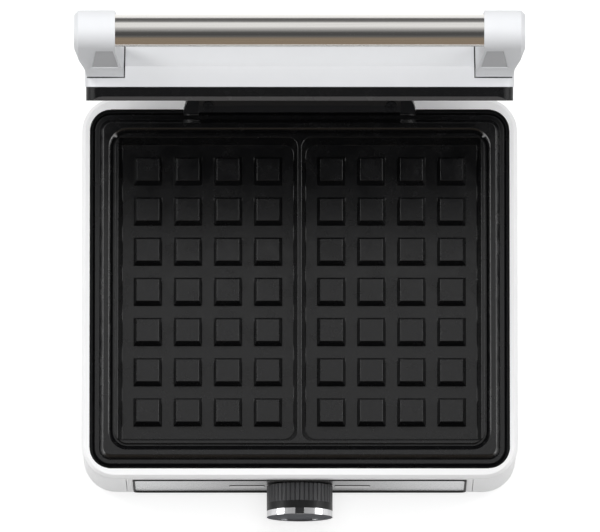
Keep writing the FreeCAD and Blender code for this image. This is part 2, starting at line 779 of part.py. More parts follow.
def plate_lugs(body, mating):
    """Lugs inside the lid's skirt, where the handle and the hinge arms are screwed through to the plate."""
    low = mating + d.flange
    high = parting + d.lid_crease - d.lug_drop
    front = lid_front + d.lid_wall + d.seat_gap
    back = lid_back - d.lid_wall - d.seat_gap
    height = high - low
    middle = (low + high) / 2
    front_lugs = [box_outline(across, middle, d.lug_width, height) for across, _ in handle_screw_spots()]
    back_lugs = [box_outline(side * arm_x, middle, d.arm_flange, height) for side in LEFT_AND_RIGHT]
    pad(body, "XZ_Plane", front, d.lug_thickness, front_lugs)
    pad(body, "XZ_Plane", back, d.lug_thickness, back_lugs, -1)
    cut(body, "XZ_Plane", front, d.lug_thickness, screw_holes(handle_screw_spots()))
    cut(body, "XZ_Plane", back, d.lug_thickness, screw_holes(arm_screw_spots()), -1)


def heating_element(label, mating, side):
    """A pressed U-shaped element against the back of a plate, its two ends running out at the back."""
    body = new_body(label)
    level = mating + side * (pan_thickness + d.seat_gap)
    half = d.element_size / 2
    outer = d.element_width / 2 + half
    inner = d.element_width / 2 - half
    end = d.plate_y + d.tray_depth / 2 + d.terminal_length
    front = d.plate_y - d.post_y - d.post_size / 2 - d.element_gap - half
    loop = Outline([(-outer, end), (-outer, front - half, d.element_bend + half),
                    (outer, front - half, d.element_bend + half), (outer, end), (inner, end),
                    (inner, front + half, d.element_bend - half),
                    (-inner, front + half, d.element_bend - half), (-inner, end)])
    pad(body, "XY_Plane", level, d.element_size, [loop], side)
    return body


def reflector(label, mating, side):
    """A folded sheet-metal tray on the plate's posts, open towards the plate."""
    body = new_body(label)
    floor = mating + side * (pan_thickness + d.post_height)
    rim = floor - side * (d.tray_height - d.tray_sheet)
    pad(body, "XY_Plane", rim, d.tray_height, [box_outline(0, d.plate_y, tray_width, d.tray_depth)], side)
    inner = box_outline(0, d.plate_y, tray_width - 2 * d.tray_sheet, d.tray_depth - 2 * d.tray_sheet)
    cut(body, "XY_Plane", rim, d.tray_height - d.tray_sheet, [inner], side)
    hole = d.stake_size + 2 * d.screw_clearance
    cut(body, "XY_Plane", floor, d.tray_sheet,
        [box_outline(*spot, hole, hole) for spot in post_spots()], side)
    level = mating + side * (pan_thickness + d.seat_gap + d.element_size / 2)
    gap = d.element_size + 2 * d.fit_gap
    notches = [box_outline(end * d.element_width / 2, level, gap, gap) for end in LEFT_AND_RIGHT]
    cut(body, "XZ_Plane", d.plate_y + d.tray_depth / 2, d.tray_sheet, notches, -1)
    return body


def upper_heating():
    mating = parting + d.lid_gap
    swing_open(heating_element("upper_heating_element", mating, 1))
    swing_open(reflector("upper_reflector", mating, 1))


def lower_heating():
    heating_element("lower_heating_element", parting, -1)
    reflector("lower_reflector", parting, -1)


# Lid and handle

def lid_shell():
    """An upright skirt under a crown that slopes in from all four sides, hollow from below."""
    body = new_body("lid_shell")
    crease = parting + d.lid_crease
    top = parting + d.lid_height
    pad(body, "XY_Plane", lid_bottom, top - lid_bottom,
        [box_outline(0, d.plate_y, lid_width, lid_length, d.lid_corner)])
    for side in LEFT_AND_RIGHT:
        end = d.plate_y + side * lid_length / 2
        cut(body, "YZ_Plane", -lid_width / 2, lid_width,
            [Outline([(end, crease), (end, top), (end - side * d.lid_slope_run, top)])])
        end = side * lid_width / 2
        cut(body, "XZ_Plane", lid_front, lid_length,
            [Outline([(end, crease), (end, top), (end - side * d.lid_slope_run, top)])])
    hollow_out(body, d.lid_wall, lid_bottom)
    through = 2 * d.lid_wall
    cut(body, "XZ_Plane", lid_front, through, screw_holes(handle_screw_spots()))
    cut(body, "XZ_Plane", lid_back, through, screw_holes(arm_screw_spots()), -1)
    swing_open(body)
    return body


def hollow_out(body, wall, level):
    """Leave a wall all round and open the flat face at a height."""
    base = body.Tip
    name = next("Face%d" % number for number, face in enumerate(base.Shape.Faces, start=1)
                if abs(face.CenterOfMass.z - level.value) < TOUCH)
    feature = body.newObject("PartDesign::Thickness", "Thickness")
    feature.Base = (base, [name])
    feature.Join = "Intersection"
    feature.Reversed = True
    bind(feature, "Value", wall)
    doc.recompute()


def clear_of_lid(body):
    """Take the lid's form, grown by a gap, out of a piece that is seated on it."""
    width = lid_width + 2 * d.seat_gap
    length = lid_length + 2 * d.seat_gap
    crease = parting + d.lid_crease
    cut(body, "XY_Plane", parting, d.lid_crease,
        [box_outline(0, d.plate_y, width, length, d.lid_corner + d.seat_gap)])
    run = 2 * d.lid_slope_run
    wedge(body, "Subtractive", crease, (as_size(0), d.plate_y, width, length),
          parting + d.lid_height + d.seat_gap, (as_size(0), d.plate_y, width - run, length - run))


def handle_screw_spots():
    across = d.foot_inner + (lid_width / 2 - d.lid_corner - d.foot_inner) / 2
    rise = (d.foot_rise + d.lid_crease) / 2
    return [(side * across, parting + rise) for side in LEFT_AND_RIGHT]


def handle_bracket(label, side):
    """A strut from the lid's front corner, flaring out to the socket that holds the tube's end."""
    body = new_body(label)
    socket_radius = d.tube_diameter / 2 + d.tube_gap + d.socket_wall
    inner = d.grip_span / 2
    outer = inner + d.socket_length
    start = side * d.foot_inner
    toe = tube_y - socket_radius * sine(d.strut_angle)
    toe_z = tube_z - socket_radius * cosine(d.strut_angle)
    slope = sine(d.strut_angle) / cosine(d.strut_angle)
    strip_y = lid_front - d.strip_reach
    strip_z = toe_z - (strip_y - toe) * slope
    crest = tube_y + socket_radius * sine(d.crest_angle)
    crest_z = tube_z + socket_radius * cosine(d.crest_angle)
    tail_y = lid_front + d.lid_slope_run
    tail_z = crest_z - (tail_y - crest) * sine(d.crest_angle) / cosine(d.crest_angle)
    foot_z = parting + d.foot_rise
    strut = Outline([(tail_y, foot_z), (tail_y, tail_z), (crest, crest_z), (tube_y, tube_z), (toe, toe_z),
                     (strip_y, strip_z), (lid_front - d.foot_reach, foot_z)])
    pad(body, "YZ_Plane", start, outer - d.foot_inner, [strut], side)
    pad(body, "YZ_Plane", side * inner, d.socket_length, [Ring(tube_y, tube_z, 2 * socket_radius)], side)
    bevel_edges(body, d.socket_bevel, lies_at("x", side * outer))
    flare = lid_front - d.flare_reach
    beyond = tube_y - 2 * socket_radius
    inner_side = Outline([(start, lid_front), (start, beyond), (side * inner, beyond), (side * inner, flare)])
    outside = side * (outer + d.spare)
    outer_side = Outline([(side * outer, flare), (outside, flare), (outside, tail_y + d.spare),
                          (side * d.foot_outer, tail_y + d.spare), (side * d.foot_outer, lid_front)])
    cut(body, "XY_Plane", parting, FAR, [inner_side, outer_side])
    clear_of_lid(body)
    bore = d.tube_diameter + 2 * d.tube_gap
    cut(body, "YZ_Plane", start, outer - d.socket_end - d.foot_inner, [Ring(tube_y, tube_z, bore)], side)
    spot = handle_screw_spots()[LEFT_AND_RIGHT.index(side)]
    cut(body, "XZ_Plane", lid_front, d.strip_reach / 2, screw_holes([spot]), -1)
    swing_open(body)
    return body


def handle_tube():
    body = new_body("handle_tube")
    length = d.grip_span + 2 * (d.socket_length - d.socket_end - d.fit_gap)
    pad(body, "YZ_Plane", -length / 2, length, [Ring(tube_y, tube_z, d.tube_diameter)])
    cut(body, "YZ_Plane", -length / 2, length, [Ring(tube_y, tube_z, d.tube_diameter - 2 * d.tube_wall)])
    swing_open(body)
    return body


def handle_screws():
    seat = lid_front + d.lid_wall + d.seat_gap + d.lug_thickness
    body = screws("handle_screws", "XZ_Plane", seat, -1, handle_screw_spots(),
                  shank=seat - lid_front + d.strip_reach / 2 - d.seat_gap)
    swing_open(body)
    return body


# Hinge

def arm_screw_spots():
    height = (lid_bottom + parting + d.lid_crease) / 2
    return [(side * arm_x + end * d.arm_screw, height) for side in LEFT_AND_RIGHT for end in LEFT_AND_RIGHT]


def hinge_bracket():
    """A black casting in the bezel's notch, with the fixed knuckle and low ends under the arms."""
    body = new_body("hinge_bracket")
    front = plate_back + d.fit_gap
    top = parting - d.fit_gap
    radius = d.barrel_diameter / 2
    half = d.bracket_width / 2
    profile = Outline([(front, body_top), (base_back, body_top), (hinge_y + radius, hinge_z),
                       (hinge_y, hinge_z + radius), (front + d.bracket_step, top), (front, top)])
    pad(body, "YZ_Plane", -half, d.bracket_width, [profile])
    pad(body, "YZ_Plane", -half, d.bracket_width, [Ring(hinge_y, hinge_z, d.barrel_diameter)])
    end = notch_width / 2 - d.fit_gap
    low = Outline([(-end - d.notch_slant, front), (end + d.notch_slant, front), (end, base_back),
                   (-end, base_back)])
    pad(body, "XY_Plane", body_top, d.bezel_height - d.tray_step, [low])
    bore = d.pin_diameter + 2 * d.running_gap
    cut(body, "YZ_Plane", -half, d.bracket_width, [Ring(hinge_y, hinge_z, bore)])
    spots = bracket_screw_spots()
    head = d.screw_head + 2 * d.fit_gap
    sink = hinge_z - top + d.screw_head_height
    cut(body, "XY_Plane", hinge_z, sink, [plain_ring(*spot, head, MORE_SIDES) for spot in spots], -1)
    cut(body, "XY_Plane", top, d.bezel_height, screw_holes(spots), -1)
    return body


def bracket_screw_spots():
    along = plate_back + d.fit_gap + d.screw_head / 2
    return [(side * d.bracket_screw_x, along) for side in LEFT_AND_RIGHT]


def hinge_screws():
    """Cross-head screws that hold the bracket down."""
    seat = parting - d.fit_gap - d.screw_head_height
    body = screws("hinge_screws", "XY_Plane", seat, -1, bracket_screw_spots(), head_sides=MORE_SIDES)
    slots = [cross_outline(*spot, d.recess_span, d.recess_width) for spot in bracket_screw_spots()]
    cut(body, "XY_Plane", seat + d.screw_head_height, d.screw_head_height / 2, slots, -1)
    return body


def cross_outline(across, along, span, width):
    """The recess of a cross-head screw."""
    long = span / 2
    short = width / 2
    quarter = [(long, -short), (long, short), (short, short)]
    corners = []
    for turn in range(4):
        for right, up in quarter:
            for _ in range(turn):
                right, up = -up, right
            corners.append((across + right, along + up))
    return Outline(corners)


def hinge_pin():
    body = new_body("hinge_pin")
    half = clip_x + 2 * d.clip_thickness
    pad(body, "YZ_Plane", -half, 2 * half, [Ring(hinge_y, hinge_z, d.pin_diameter)])
    return body


def hinge_clips():
    """Push-on clips that hold the pin's ends, each with a six-sided hole that the pin just passes."""
    body = new_body("hinge_clips", several=True)
    hole = (d.pin_diameter + 2 * d.running_gap) / math.cos(math.pi / FEW_SIDES)
    for side in LEFT_AND_RIGHT:
        pad(body, "YZ_Plane", side * clip_x, d.clip_thickness,
            [box_outline(hinge_y, hinge_z, d.clip_size, d.clip_size),
             plain_ring(hinge_y, hinge_z, hole)], side)
    return body


def lid_hinge_arms():
    """Two arms on the lid's back, each with a knuckle on the pin and a heel that stops the lid."""
    body = new_body("lid_hinge_arms", several=True)
    seat = lid_back + d.seat_gap
    low = lid_bottom + d.fit_gap
    high = parting + d.lid_crease - d.lug_drop
    radius = d.barrel_diameter / 2
    stop = d.hinge_back - d.stop_gap
    swing_sine = sine(d.stop_angle)
    swing_cosine = cosine(d.stop_angle)

    def heel_corner(along, towards_stop):
        return (hinge_y + along * swing_sine - towards_stop * swing_cosine,
                hinge_z - along * swing_cosine - towards_stop * swing_sine)

    heel = Outline([heel_corner(as_size(0), stop), heel_corner(d.heel_length, stop),
                    heel_corner(d.heel_length, stop - d.heel_thickness),
                    heel_corner(as_size(0), stop - d.heel_thickness)])
    arm = Outline([(seat, low), (hinge_y, hinge_z - radius), (hinge_y, hinge_z + radius),
                   (seat + d.arm_flange_thickness, high), (seat, high)])
    knuckle = Ring(hinge_y, hinge_z, d.barrel_diameter)
    for side in LEFT_AND_RIGHT:
        start = side * arm_x - d.arm_width / 2
        for shape in (arm, knuckle, heel):
            pad(body, "YZ_Plane", start, d.arm_width, [shape])
        plate = box_outline(side * arm_x, (low + high) / 2, d.arm_flange, high - low)
        pad(body, "XZ_Plane", seat, d.arm_flange_thickness, [plate])
    bore = d.pin_diameter + 2 * d.running_gap
    reach = arm_x + d.arm_width
    cut(body, "YZ_Plane", -reach, 2 * reach, [Ring(hinge_y, hinge_z, bore)])
    cut(body, "XZ_Plane", seat, d.arm_flange_thickness, screw_holes(arm_screw_spots()))
    swing_open(body)
    return body


def lid_hinge_screws():
    seat = lid_back + d.seat_gap + d.arm_flange_thickness
    body = screws("lid_hinge_screws", "XZ_Plane", seat, -1, arm_screw_spots(),
                  shank=seat - lid_back + d.lid_wall + d.seat_gap + d.lug_thickness)
    swing_open(body)
    return body


# Base

def base_bezel():
    """The white rim: a rounded frame with a shelf under the plate's edge and a notch for the hinge."""
    body = new_body("base_bezel")
    pad(body, "XY_Plane", body_top, d.bezel_height,
        [box_outline(0, base_y, base_width, base_length, d.bezel_corner)])
    bevel_edges(body, d.bezel_bevel, lies_at("z", parting))
    inset = 2 * d.fit_gap
    pad(body, "XY_Plane", shelf_bottom, d.shelf_drop,
        [box_outline(0, base_y, room_width - inset, room_length - inset, room_corner - d.fit_gap)])
    cut(body, "XY_Plane", parting, parting - shelf_top,
        [box_outline(0, d.plate_y, opening_width, opening_length, opening_corner)], -1)
    reach = 2 * d.shelf_reach
    cut(body, "XY_Plane", shelf_top, shelf_top - shelf_bottom,
        [box_outline(0, d.plate_y, opening_width - reach, opening_length - reach)], -1)
    half = notch_width / 2
    front = plate_back - d.fit_gap
    notch = Outline([(-half - d.notch_slant, front), (half + d.notch_slant, front),
                     (half, base_back + d.spare), (-half, base_back + d.spare)])
    cut(body, "XY_Plane", parting, d.bezel_height, [notch], -1)
    cut(body, "XY_Plane", body_top, d.shelf_drop, screw_holes(bracket_screw_spots()), -1)
    cut(body, "XY_Plane", shelf_top, shelf_top - shelf_bottom, screw_holes(plate_screw_spots()), -1)
    return body


def bottom_screw_spots():
    return four_corners(base_y, room_width / 2 - d.boss_inset, room_length / 2 - d.boss_inset)


def gland_outline(gap):
    """The slot that the gland's neck sits in, open at the housing's bottom edge."""
    half = d.gland_neck / 2 + gap
    top = d.foot_height + d.gland_rise + half
    return Outline([(-half, d.foot_height), (half, d.foot_height), (half, top), (-half, top)])


def base_housing():
    """The white lower casing: four walls, open at the top and bottom, with a gap for the fascia."""
    body = new_body("base_housing")
    pad(body, "XY_Plane", d.foot_height, d.body_height,
        [box_outline(0, base_y, body_width, body_length, body_corner)])
    bevel_edges(body, d.body_bevel, lies_at("z", d.foot_height))
    cut(body, "XY_Plane", d.foot_height, d.body_height,
        [box_outline(0, base_y, room_width, room_length, room_corner)])
    boss_base = cover_top + d.seat_gap
    pad(body, "XY_Plane", boss_base, d.boss_height,
        [box_outline(*spot, d.boss_size, d.boss_size) for spot in bottom_screw_spots()])
    pad(body, "XY_Plane", shelf_bottom, d.boss_height / 2,
        [box_outline(*spot, d.boss_size, d.boss_size) for spot in bracket_screw_spots()], -1)
    half = fascia_width / 2 + d.fit_gap
    window = Outline([(-half, fascia_bottom), (half, fascia_bottom), (half, body_top), (-half, body_top)])
    cut(body, "XZ_Plane", body_front, d.body_wall, [window])
    cut(body, "XZ_Plane", body_back, d.body_wall, [gland_outline(d.seat_gap)], -1)
    cut(body, "XY_Plane", boss_base, d.screw_length, screw_holes(bottom_screw_spots()))
    cut(body, "XY_Plane", shelf_bottom, d.screw_length, screw_holes(bracket_screw_spots()), -1)
    return body


def bottom_cover():
    """A vented plate inside the housing's bottom edge, with holes for the screws and the feet's plugs."""
    body = new_body("bottom_cover")
    inset = 2 * d.fit_gap
    pad(body, "XY_Plane", d.foot_height, d.cover_thickness,
        [box_outline(0, base_y, room_width - inset, room_length - inset, room_corner - d.fit_gap)])
    holes = screw_holes(bottom_screw_spots()) + screw_holes(foot_spots(), d.foot_plug)
    cut(body, "XY_Plane", d.foot_height, d.cover_thickness, holes)
    first = -(d.vent_count - 1) * d.vent_pitch / 2
    slot = box_outline(first, base_y, d.vent_width, d.vent_length)
    vent = cut(body, "XY_Plane", d.foot_height, d.cover_thickness, [slot])
    rows(body, vent, (d.vent_count, d.vent_pitch))
    return body


def bottom_screws():
    return screws("bottom_screws", "XY_Plane", d.foot_height, 1, bottom_screw_spots())


def foot_spots():
    return four_corners(base_y, body_width / 2 - d.foot_inset, body_length / 2 - d.foot_inset)


def rubber_feet():
    body = new_body("rubber_feet", several=True)
    pad(body, "XY_Plane", d.foot_height, d.foot_height,
        [plain_ring(*spot, d.foot_diameter, MORE_SIDES) for spot in foot_spots()], -1)
    pad(body, "XY_Plane", d.foot_height, d.cover_thickness,
        [plain_ring(*spot, d.foot_plug) for spot in foot_spots()])
    return body


def cord_gland():
    """A bush in the back wall's slot, with a flange on each side of the wall and a bore for the lead."""
    body = new_body("cord_gland")
    axis_z = d.foot_height + d.gland_rise
    flange = box_outline(0, axis_z, d.gland_flange, d.gland_flange)
    inner = body_back - d.body_wall - d.seat_gap / 2
    outer = body_back + d.seat_gap / 2
    pad(body, "XZ_Plane", inner, outer - inner, [gland_outline(as_size(0))])
    pad(body, "XZ_Plane", outer, d.gland_flange_thickness, [flange])
    pad(body, "XZ_Plane", inner, d.gland_flange_thickness, [flange], -1)
    length = outer - inner + 2 * d.gland_flange_thickness
    cut(body, "XZ_Plane", inner - d.gland_flange_thickness, length, [Ring(0, axis_z, d.cord_bore)])
    return body


def terminal_block():
    """A three-way block on the bottom cover, with a row of wire holes."""
    body = new_body("terminal_block")
    middle_y = body_back - d.body_wall - 2 * d.block_depth
    middle_z = cover_top + d.block_height / 2
    pad(body, "XY_Plane", cover_top, d.block_height, [box_outline(0, middle_y, d.block_width, d.block_depth)])
    pitch = d.block_width / 3
    ways = [box_outline(way * pitch, middle_z, pitch / 2, pitch / 2) for way in (-1, 0, 1)]
    cut(body, "XZ_Plane", middle_y - d.block_depth / 2, d.block_depth, ways)
    return body


def thermal_fuse():
    """A capsule held against the lower plate's back, between the reflector's posts."""
    body = new_body("thermal_fuse")
    level = parting - pan_thickness - d.seat_gap - d.fuse_diameter / 2
    pad(body, "YZ_Plane", -d.fuse_length / 2, d.fuse_length, [plain_ring(d.plate_y, level, d.fuse_diameter)])
    saddle = box_outline(d.plate_y, level + d.fuse_diameter / 4, d.fuse_saddle, d.fuse_diameter / 2)
    pad(body, "YZ_Plane", -d.fuse_length / 4, d.fuse_length / 2, [saddle])
    return body


# Control panel and knob

def front_fascia():
    """A white frame in the housing's front, stepped to take the gasket and the panel."""
    body = new_body("front_fascia")
    bottom = fascia_bottom + d.fit_gap
    top = body_top - d.fit_gap
    pad(body, "XZ_Plane", body_front, d.body_wall,
        [box_outline(0, (bottom + top) / 2, fascia_width, top - bottom)])
    cut(body, "XZ_Plane", body_front, gasket_back - body_front + d.seat_gap,
        [box_outline(0, knob_z, d.panel_width + 2 * d.shadow_gap, d.panel_height + 2 * d.shadow_gap,
                     d.panel_corner + d.shadow_gap)])
    cut(body, "XZ_Plane", body_front, d.body_wall,
        [box_outline(0, knob_z, d.panel_width - 2 * d.gasket_bearing, d.panel_height - 2 * d.gasket_bearing)])
    return body


def panel_gasket():
    body = new_body("panel_gasket")
    gap = 2 * (d.shadow_gap - d.seat_gap)
    pad(body, "XZ_Plane", gasket_front, d.gasket_thickness,
        [box_outline(0, knob_z, d.panel_width + gap, d.panel_height + gap, d.panel_corner + gap / 2)])
    cut(body, "XZ_Plane", gasket_front, d.gasket_thickness, panel_holes(d.fit_gap))
    return body


def control_panel():
    body = new_body("control_panel")
    pad(body, "XZ_Plane", body_front, d.panel_thickness,
        [box_outline(0, knob_z, d.panel_width, d.panel_height, d.panel_corner)])
    cut(body, "XZ_Plane", body_front, d.panel_thickness, panel_holes(d.fit_gap))
    return body


def lens_outlines(gap):
    middle = d.lens_start + d.lens_length / 2
    return [box_outline(side * middle, lens_z, d.lens_length + 2 * gap, d.lens_height + 2 * gap)
            for side in LEFT_AND_RIGHT]


def panel_holes(gap):
    spindle = plain_ring(0, knob_z, d.spindle_hole)
    return [spindle] + screw_holes(thermostat_screw_spots()) + lens_outlines(gap)


def pilot_lenses():
    """Two slim dark lenses, flush but for a slight stand, beside the knob."""
    body = new_body("pilot_lenses", several=True)
    length = d.lens_proud + d.panel_thickness + d.gasket_thickness
    pad(body, "XZ_Plane", body_front - d.lens_proud, length, lens_outlines(as_size(0)))
    return body


def pilot_lamps():
    body = new_body("pilot_lamps", several=True)
    middle = d.lens_start + d.lens_length / 2
    level = gasket_back + d.seat_gap + d.lamp_diameter / 2
    for side in LEFT_AND_RIGHT:
        pad(body, "YZ_Plane", side * middle - d.lamp_length / 2, d.lamp_length,
            [plain_ring(level, lens_z, d.lamp_diameter)])
    return body


def thermostat_screw_spots():
    return [(side * d.thermostat_screw, knob_z) for side in LEFT_AND_RIGHT]


def thermostat_body():
    """The switch behind the panel: a mounting plate and a ceramic body, with a bore for the spindle."""
    body = new_body("thermostat_body")
    pad(body, "XZ_Plane", gasket_back, d.thermostat_plate,
        [box_outline(0, knob_z, d.thermostat_width, d.thermostat_width)])
    pad(body, "XZ_Plane", gasket_back + d.thermostat_plate, d.thermostat_depth,
        [box_outline(0, knob_z, d.thermostat_core, d.thermostat_core)])
    cut(body, "XZ_Plane", gasket_back, d.thermostat_depth, [Ring(0, knob_z, spindle_bore)])
    cut(body, "XZ_Plane", gasket_back, d.screw_length, screw_holes(thermostat_screw_spots()))
    return body


def thermostat_screws():
    return screws("thermostat_screws", "XZ_Plane", body_front, 1, thermostat_screw_spots())


def on_spindle(body):
    """Move a piece drawn about its own Y axis to the knob's axis, with its zero at the panel's face."""
    move(body, 0, body_front, knob_z)


def thermostat_spindle():
    body = new_body("thermostat_spindle")
    front = -(d.knob_gap + d.rib_length)
    back = gasket_back - body_front + d.thermostat_plate + d.thermostat_depth / 2
    flat = d.spindle_diameter / 2 - d.spindle_flat
    pad(body, "XZ_Plane", front, d.rib_length, [FlatRing(d.spindle_diameter, flat)])
    pad(body, "XZ_Plane", front + d.rib_length, back - front - d.rib_length, [Ring(0, 0, d.spindle_diameter)])
    on_spindle(body)
    return body


def knob_grip():
    """The black grip: fluted where fingers turn it, with a smooth band in front and a hub inside."""
    body = new_body("knob_grip")
    length = d.rib_length + d.band_length
    radius = d.knob_diameter / 2
    pad(body, "XZ_Plane", -d.knob_gap, length, [Ring(0, 0, d.knob_diameter)], -1)
    groove = Outline([(-d.flute_width / 2, radius + d.flute_depth), (0, radius - d.flute_depth),
                      (d.flute_width / 2, radius + d.flute_depth)])
    flute = cut(body, "XZ_Plane", -d.knob_gap, d.rib_length, [groove], -1)
    repeat = pattern(body, flute, "PolarPattern")
    repeat.Axis = (origin_part(body, "Y_Axis"), [""])
    repeat.Angle = 360
    bind(repeat, "Occurrences", d.rib_count)
    finish_pattern(body, repeat)
    hollow = [plain_ring(0, 0, d.knob_diameter - 2 * d.flute_depth - 2 * d.knob_wall),
              plain_ring(0, 0, d.hub_diameter)]
    cut(body, "XZ_Plane", -d.knob_gap, length - d.knob_wall, hollow, -1)
    flat = d.spindle_diameter / 2 - d.spindle_flat + d.running_gap
    cut(body, "XZ_Plane", -d.knob_gap, d.rib_length + d.fit_gap, [FlatRing(spindle_bore, flat)], -1)
    on_spindle(body)
    return body


def knob_front():
    return -(d.knob_gap + d.rib_length + d.band_length)


def pointer_outline(gap):
    inner = d.knob_diameter / 2 - d.ring_width
    outer = d.knob_diameter / 2 + d.spare
    return box_outline(0, (inner + outer) / 2, d.pointer_width + 2 * gap, outer - inner + 2 * gap)


def knob_cap():
    """The metal cap on the knob's front: a bright ring round a sunk face, slotted for the pointer."""
    body = new_body("knob_cap")
    inner = d.knob_diameter - 2 * d.ring_width
    pad(body, "XZ_Plane", knob_front(), d.ring_length, [Ring(0, 0, d.knob_diameter)], -1)
    cut(body, "XZ_Plane", knob_front() - d.ring_length, d.face_dish, [Ring(0, 0, inner)])
    cut(body, "XZ_Plane", knob_front(), d.ring_length, [pointer_outline(d.running_gap)], -1)
    on_spindle(body)
    return body


def knob_pointer():
    """A black bar across the ring at twelve o'clock."""
    body = new_body("knob_pointer")
    pad(body, "XZ_Plane", knob_front(), d.ring_length, [Ring(0, 0, d.knob_diameter)], -1)
    keep = pointer_outline(as_size(0))
    room = box_outline(0, 0, 2 * d.knob_diameter, 2 * d.knob_diameter)
    cut(body, "XZ_Plane", knob_front(), d.ring_length, [room, keep], -1)
    on_spindle(body)
    return body


def write_pieces():
    """See that everything came out whole, then write each piece to its own file."""
    doc.recompute()
    for thing in doc.Objects:
        if "Invalid" in thing.State or "Error" in thing.State:
            raise RuntimeError("failed: %s of %s" % (thing.Name, thing.Label))
    for piece in pieces:
        if piece.Shape.isNull() or not piece.Shape.isValid():
            raise RuntimeError("bad shape: " + piece.Label)
    os.makedirs("parts", exist_ok=True)
    for piece in pieces:
        piece.Shape.exportStep("parts/%s.step" % piece.Label)


base_housing()
base_bezel()
bottom_cover()
bottom_screws()
rubber_feet()
cord_gland()
terminal_block()
thermal_fuse()
lower_plate()
lower_plate_screws()
lower_heating()
front_fascia()
panel_gasket()
control_panel()
pilot_lenses()
pilot_lamps()
thermostat_body()
thermostat_screws()
hinge_bracket()
hinge_screws()
hinge_pin()
hinge_clips()
lid_shell()
upper_plate()
upper_heating()
handle_bracket("handle_bracket_left", -1)
handle_bracket("handle_bracket_right", 1)
handle_tube()
handle_screws()
lid_hinge_arms()
lid_hinge_screws()
thermostat_spindle()
knob_grip()
knob_cap()
knob_pointer()
write_pieces()
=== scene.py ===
"""Looks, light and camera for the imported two-slice waffle maker.

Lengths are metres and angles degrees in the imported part's own frame: +X to the right, +Y to the back
and +Z up. Each CAD node gets a material, and rounded edges by modifiers. The two handle brackets are
replaced by pieces of the same shape with a recess in front.
"""
import json
import math

import bmesh
import bpy
from mathutils import Matrix, Vector


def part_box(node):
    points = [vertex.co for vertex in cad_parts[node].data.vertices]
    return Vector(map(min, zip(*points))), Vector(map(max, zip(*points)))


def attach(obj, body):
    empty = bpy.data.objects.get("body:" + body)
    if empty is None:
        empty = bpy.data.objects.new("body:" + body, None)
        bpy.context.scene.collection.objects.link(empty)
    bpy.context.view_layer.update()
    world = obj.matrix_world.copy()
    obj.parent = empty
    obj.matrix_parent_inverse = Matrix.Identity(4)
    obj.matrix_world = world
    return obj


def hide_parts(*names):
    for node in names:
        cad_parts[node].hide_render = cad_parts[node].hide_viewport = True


MM = 0.001
X_AXIS, Y_AXIS, Z_AXIS = range(3)

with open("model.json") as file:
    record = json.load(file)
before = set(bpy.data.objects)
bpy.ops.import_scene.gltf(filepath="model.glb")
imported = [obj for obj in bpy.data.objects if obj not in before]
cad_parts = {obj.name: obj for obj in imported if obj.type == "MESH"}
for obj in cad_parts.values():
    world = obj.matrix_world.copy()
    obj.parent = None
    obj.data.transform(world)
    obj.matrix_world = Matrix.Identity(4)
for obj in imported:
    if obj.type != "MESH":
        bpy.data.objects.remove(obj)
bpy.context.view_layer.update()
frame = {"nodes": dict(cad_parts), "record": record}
nodes = frame["nodes"]


def add_object(name, data):
    """A new object in the scene."""
    made = bpy.data.objects.new(name, data)
    bpy.context.scene.collection.objects.link(made)
    return made


# Materials

# The part of a noise's values over which a colour or a roughness varies
NOISE_LOW = 0.35
NOISE_HIGH = 0.65


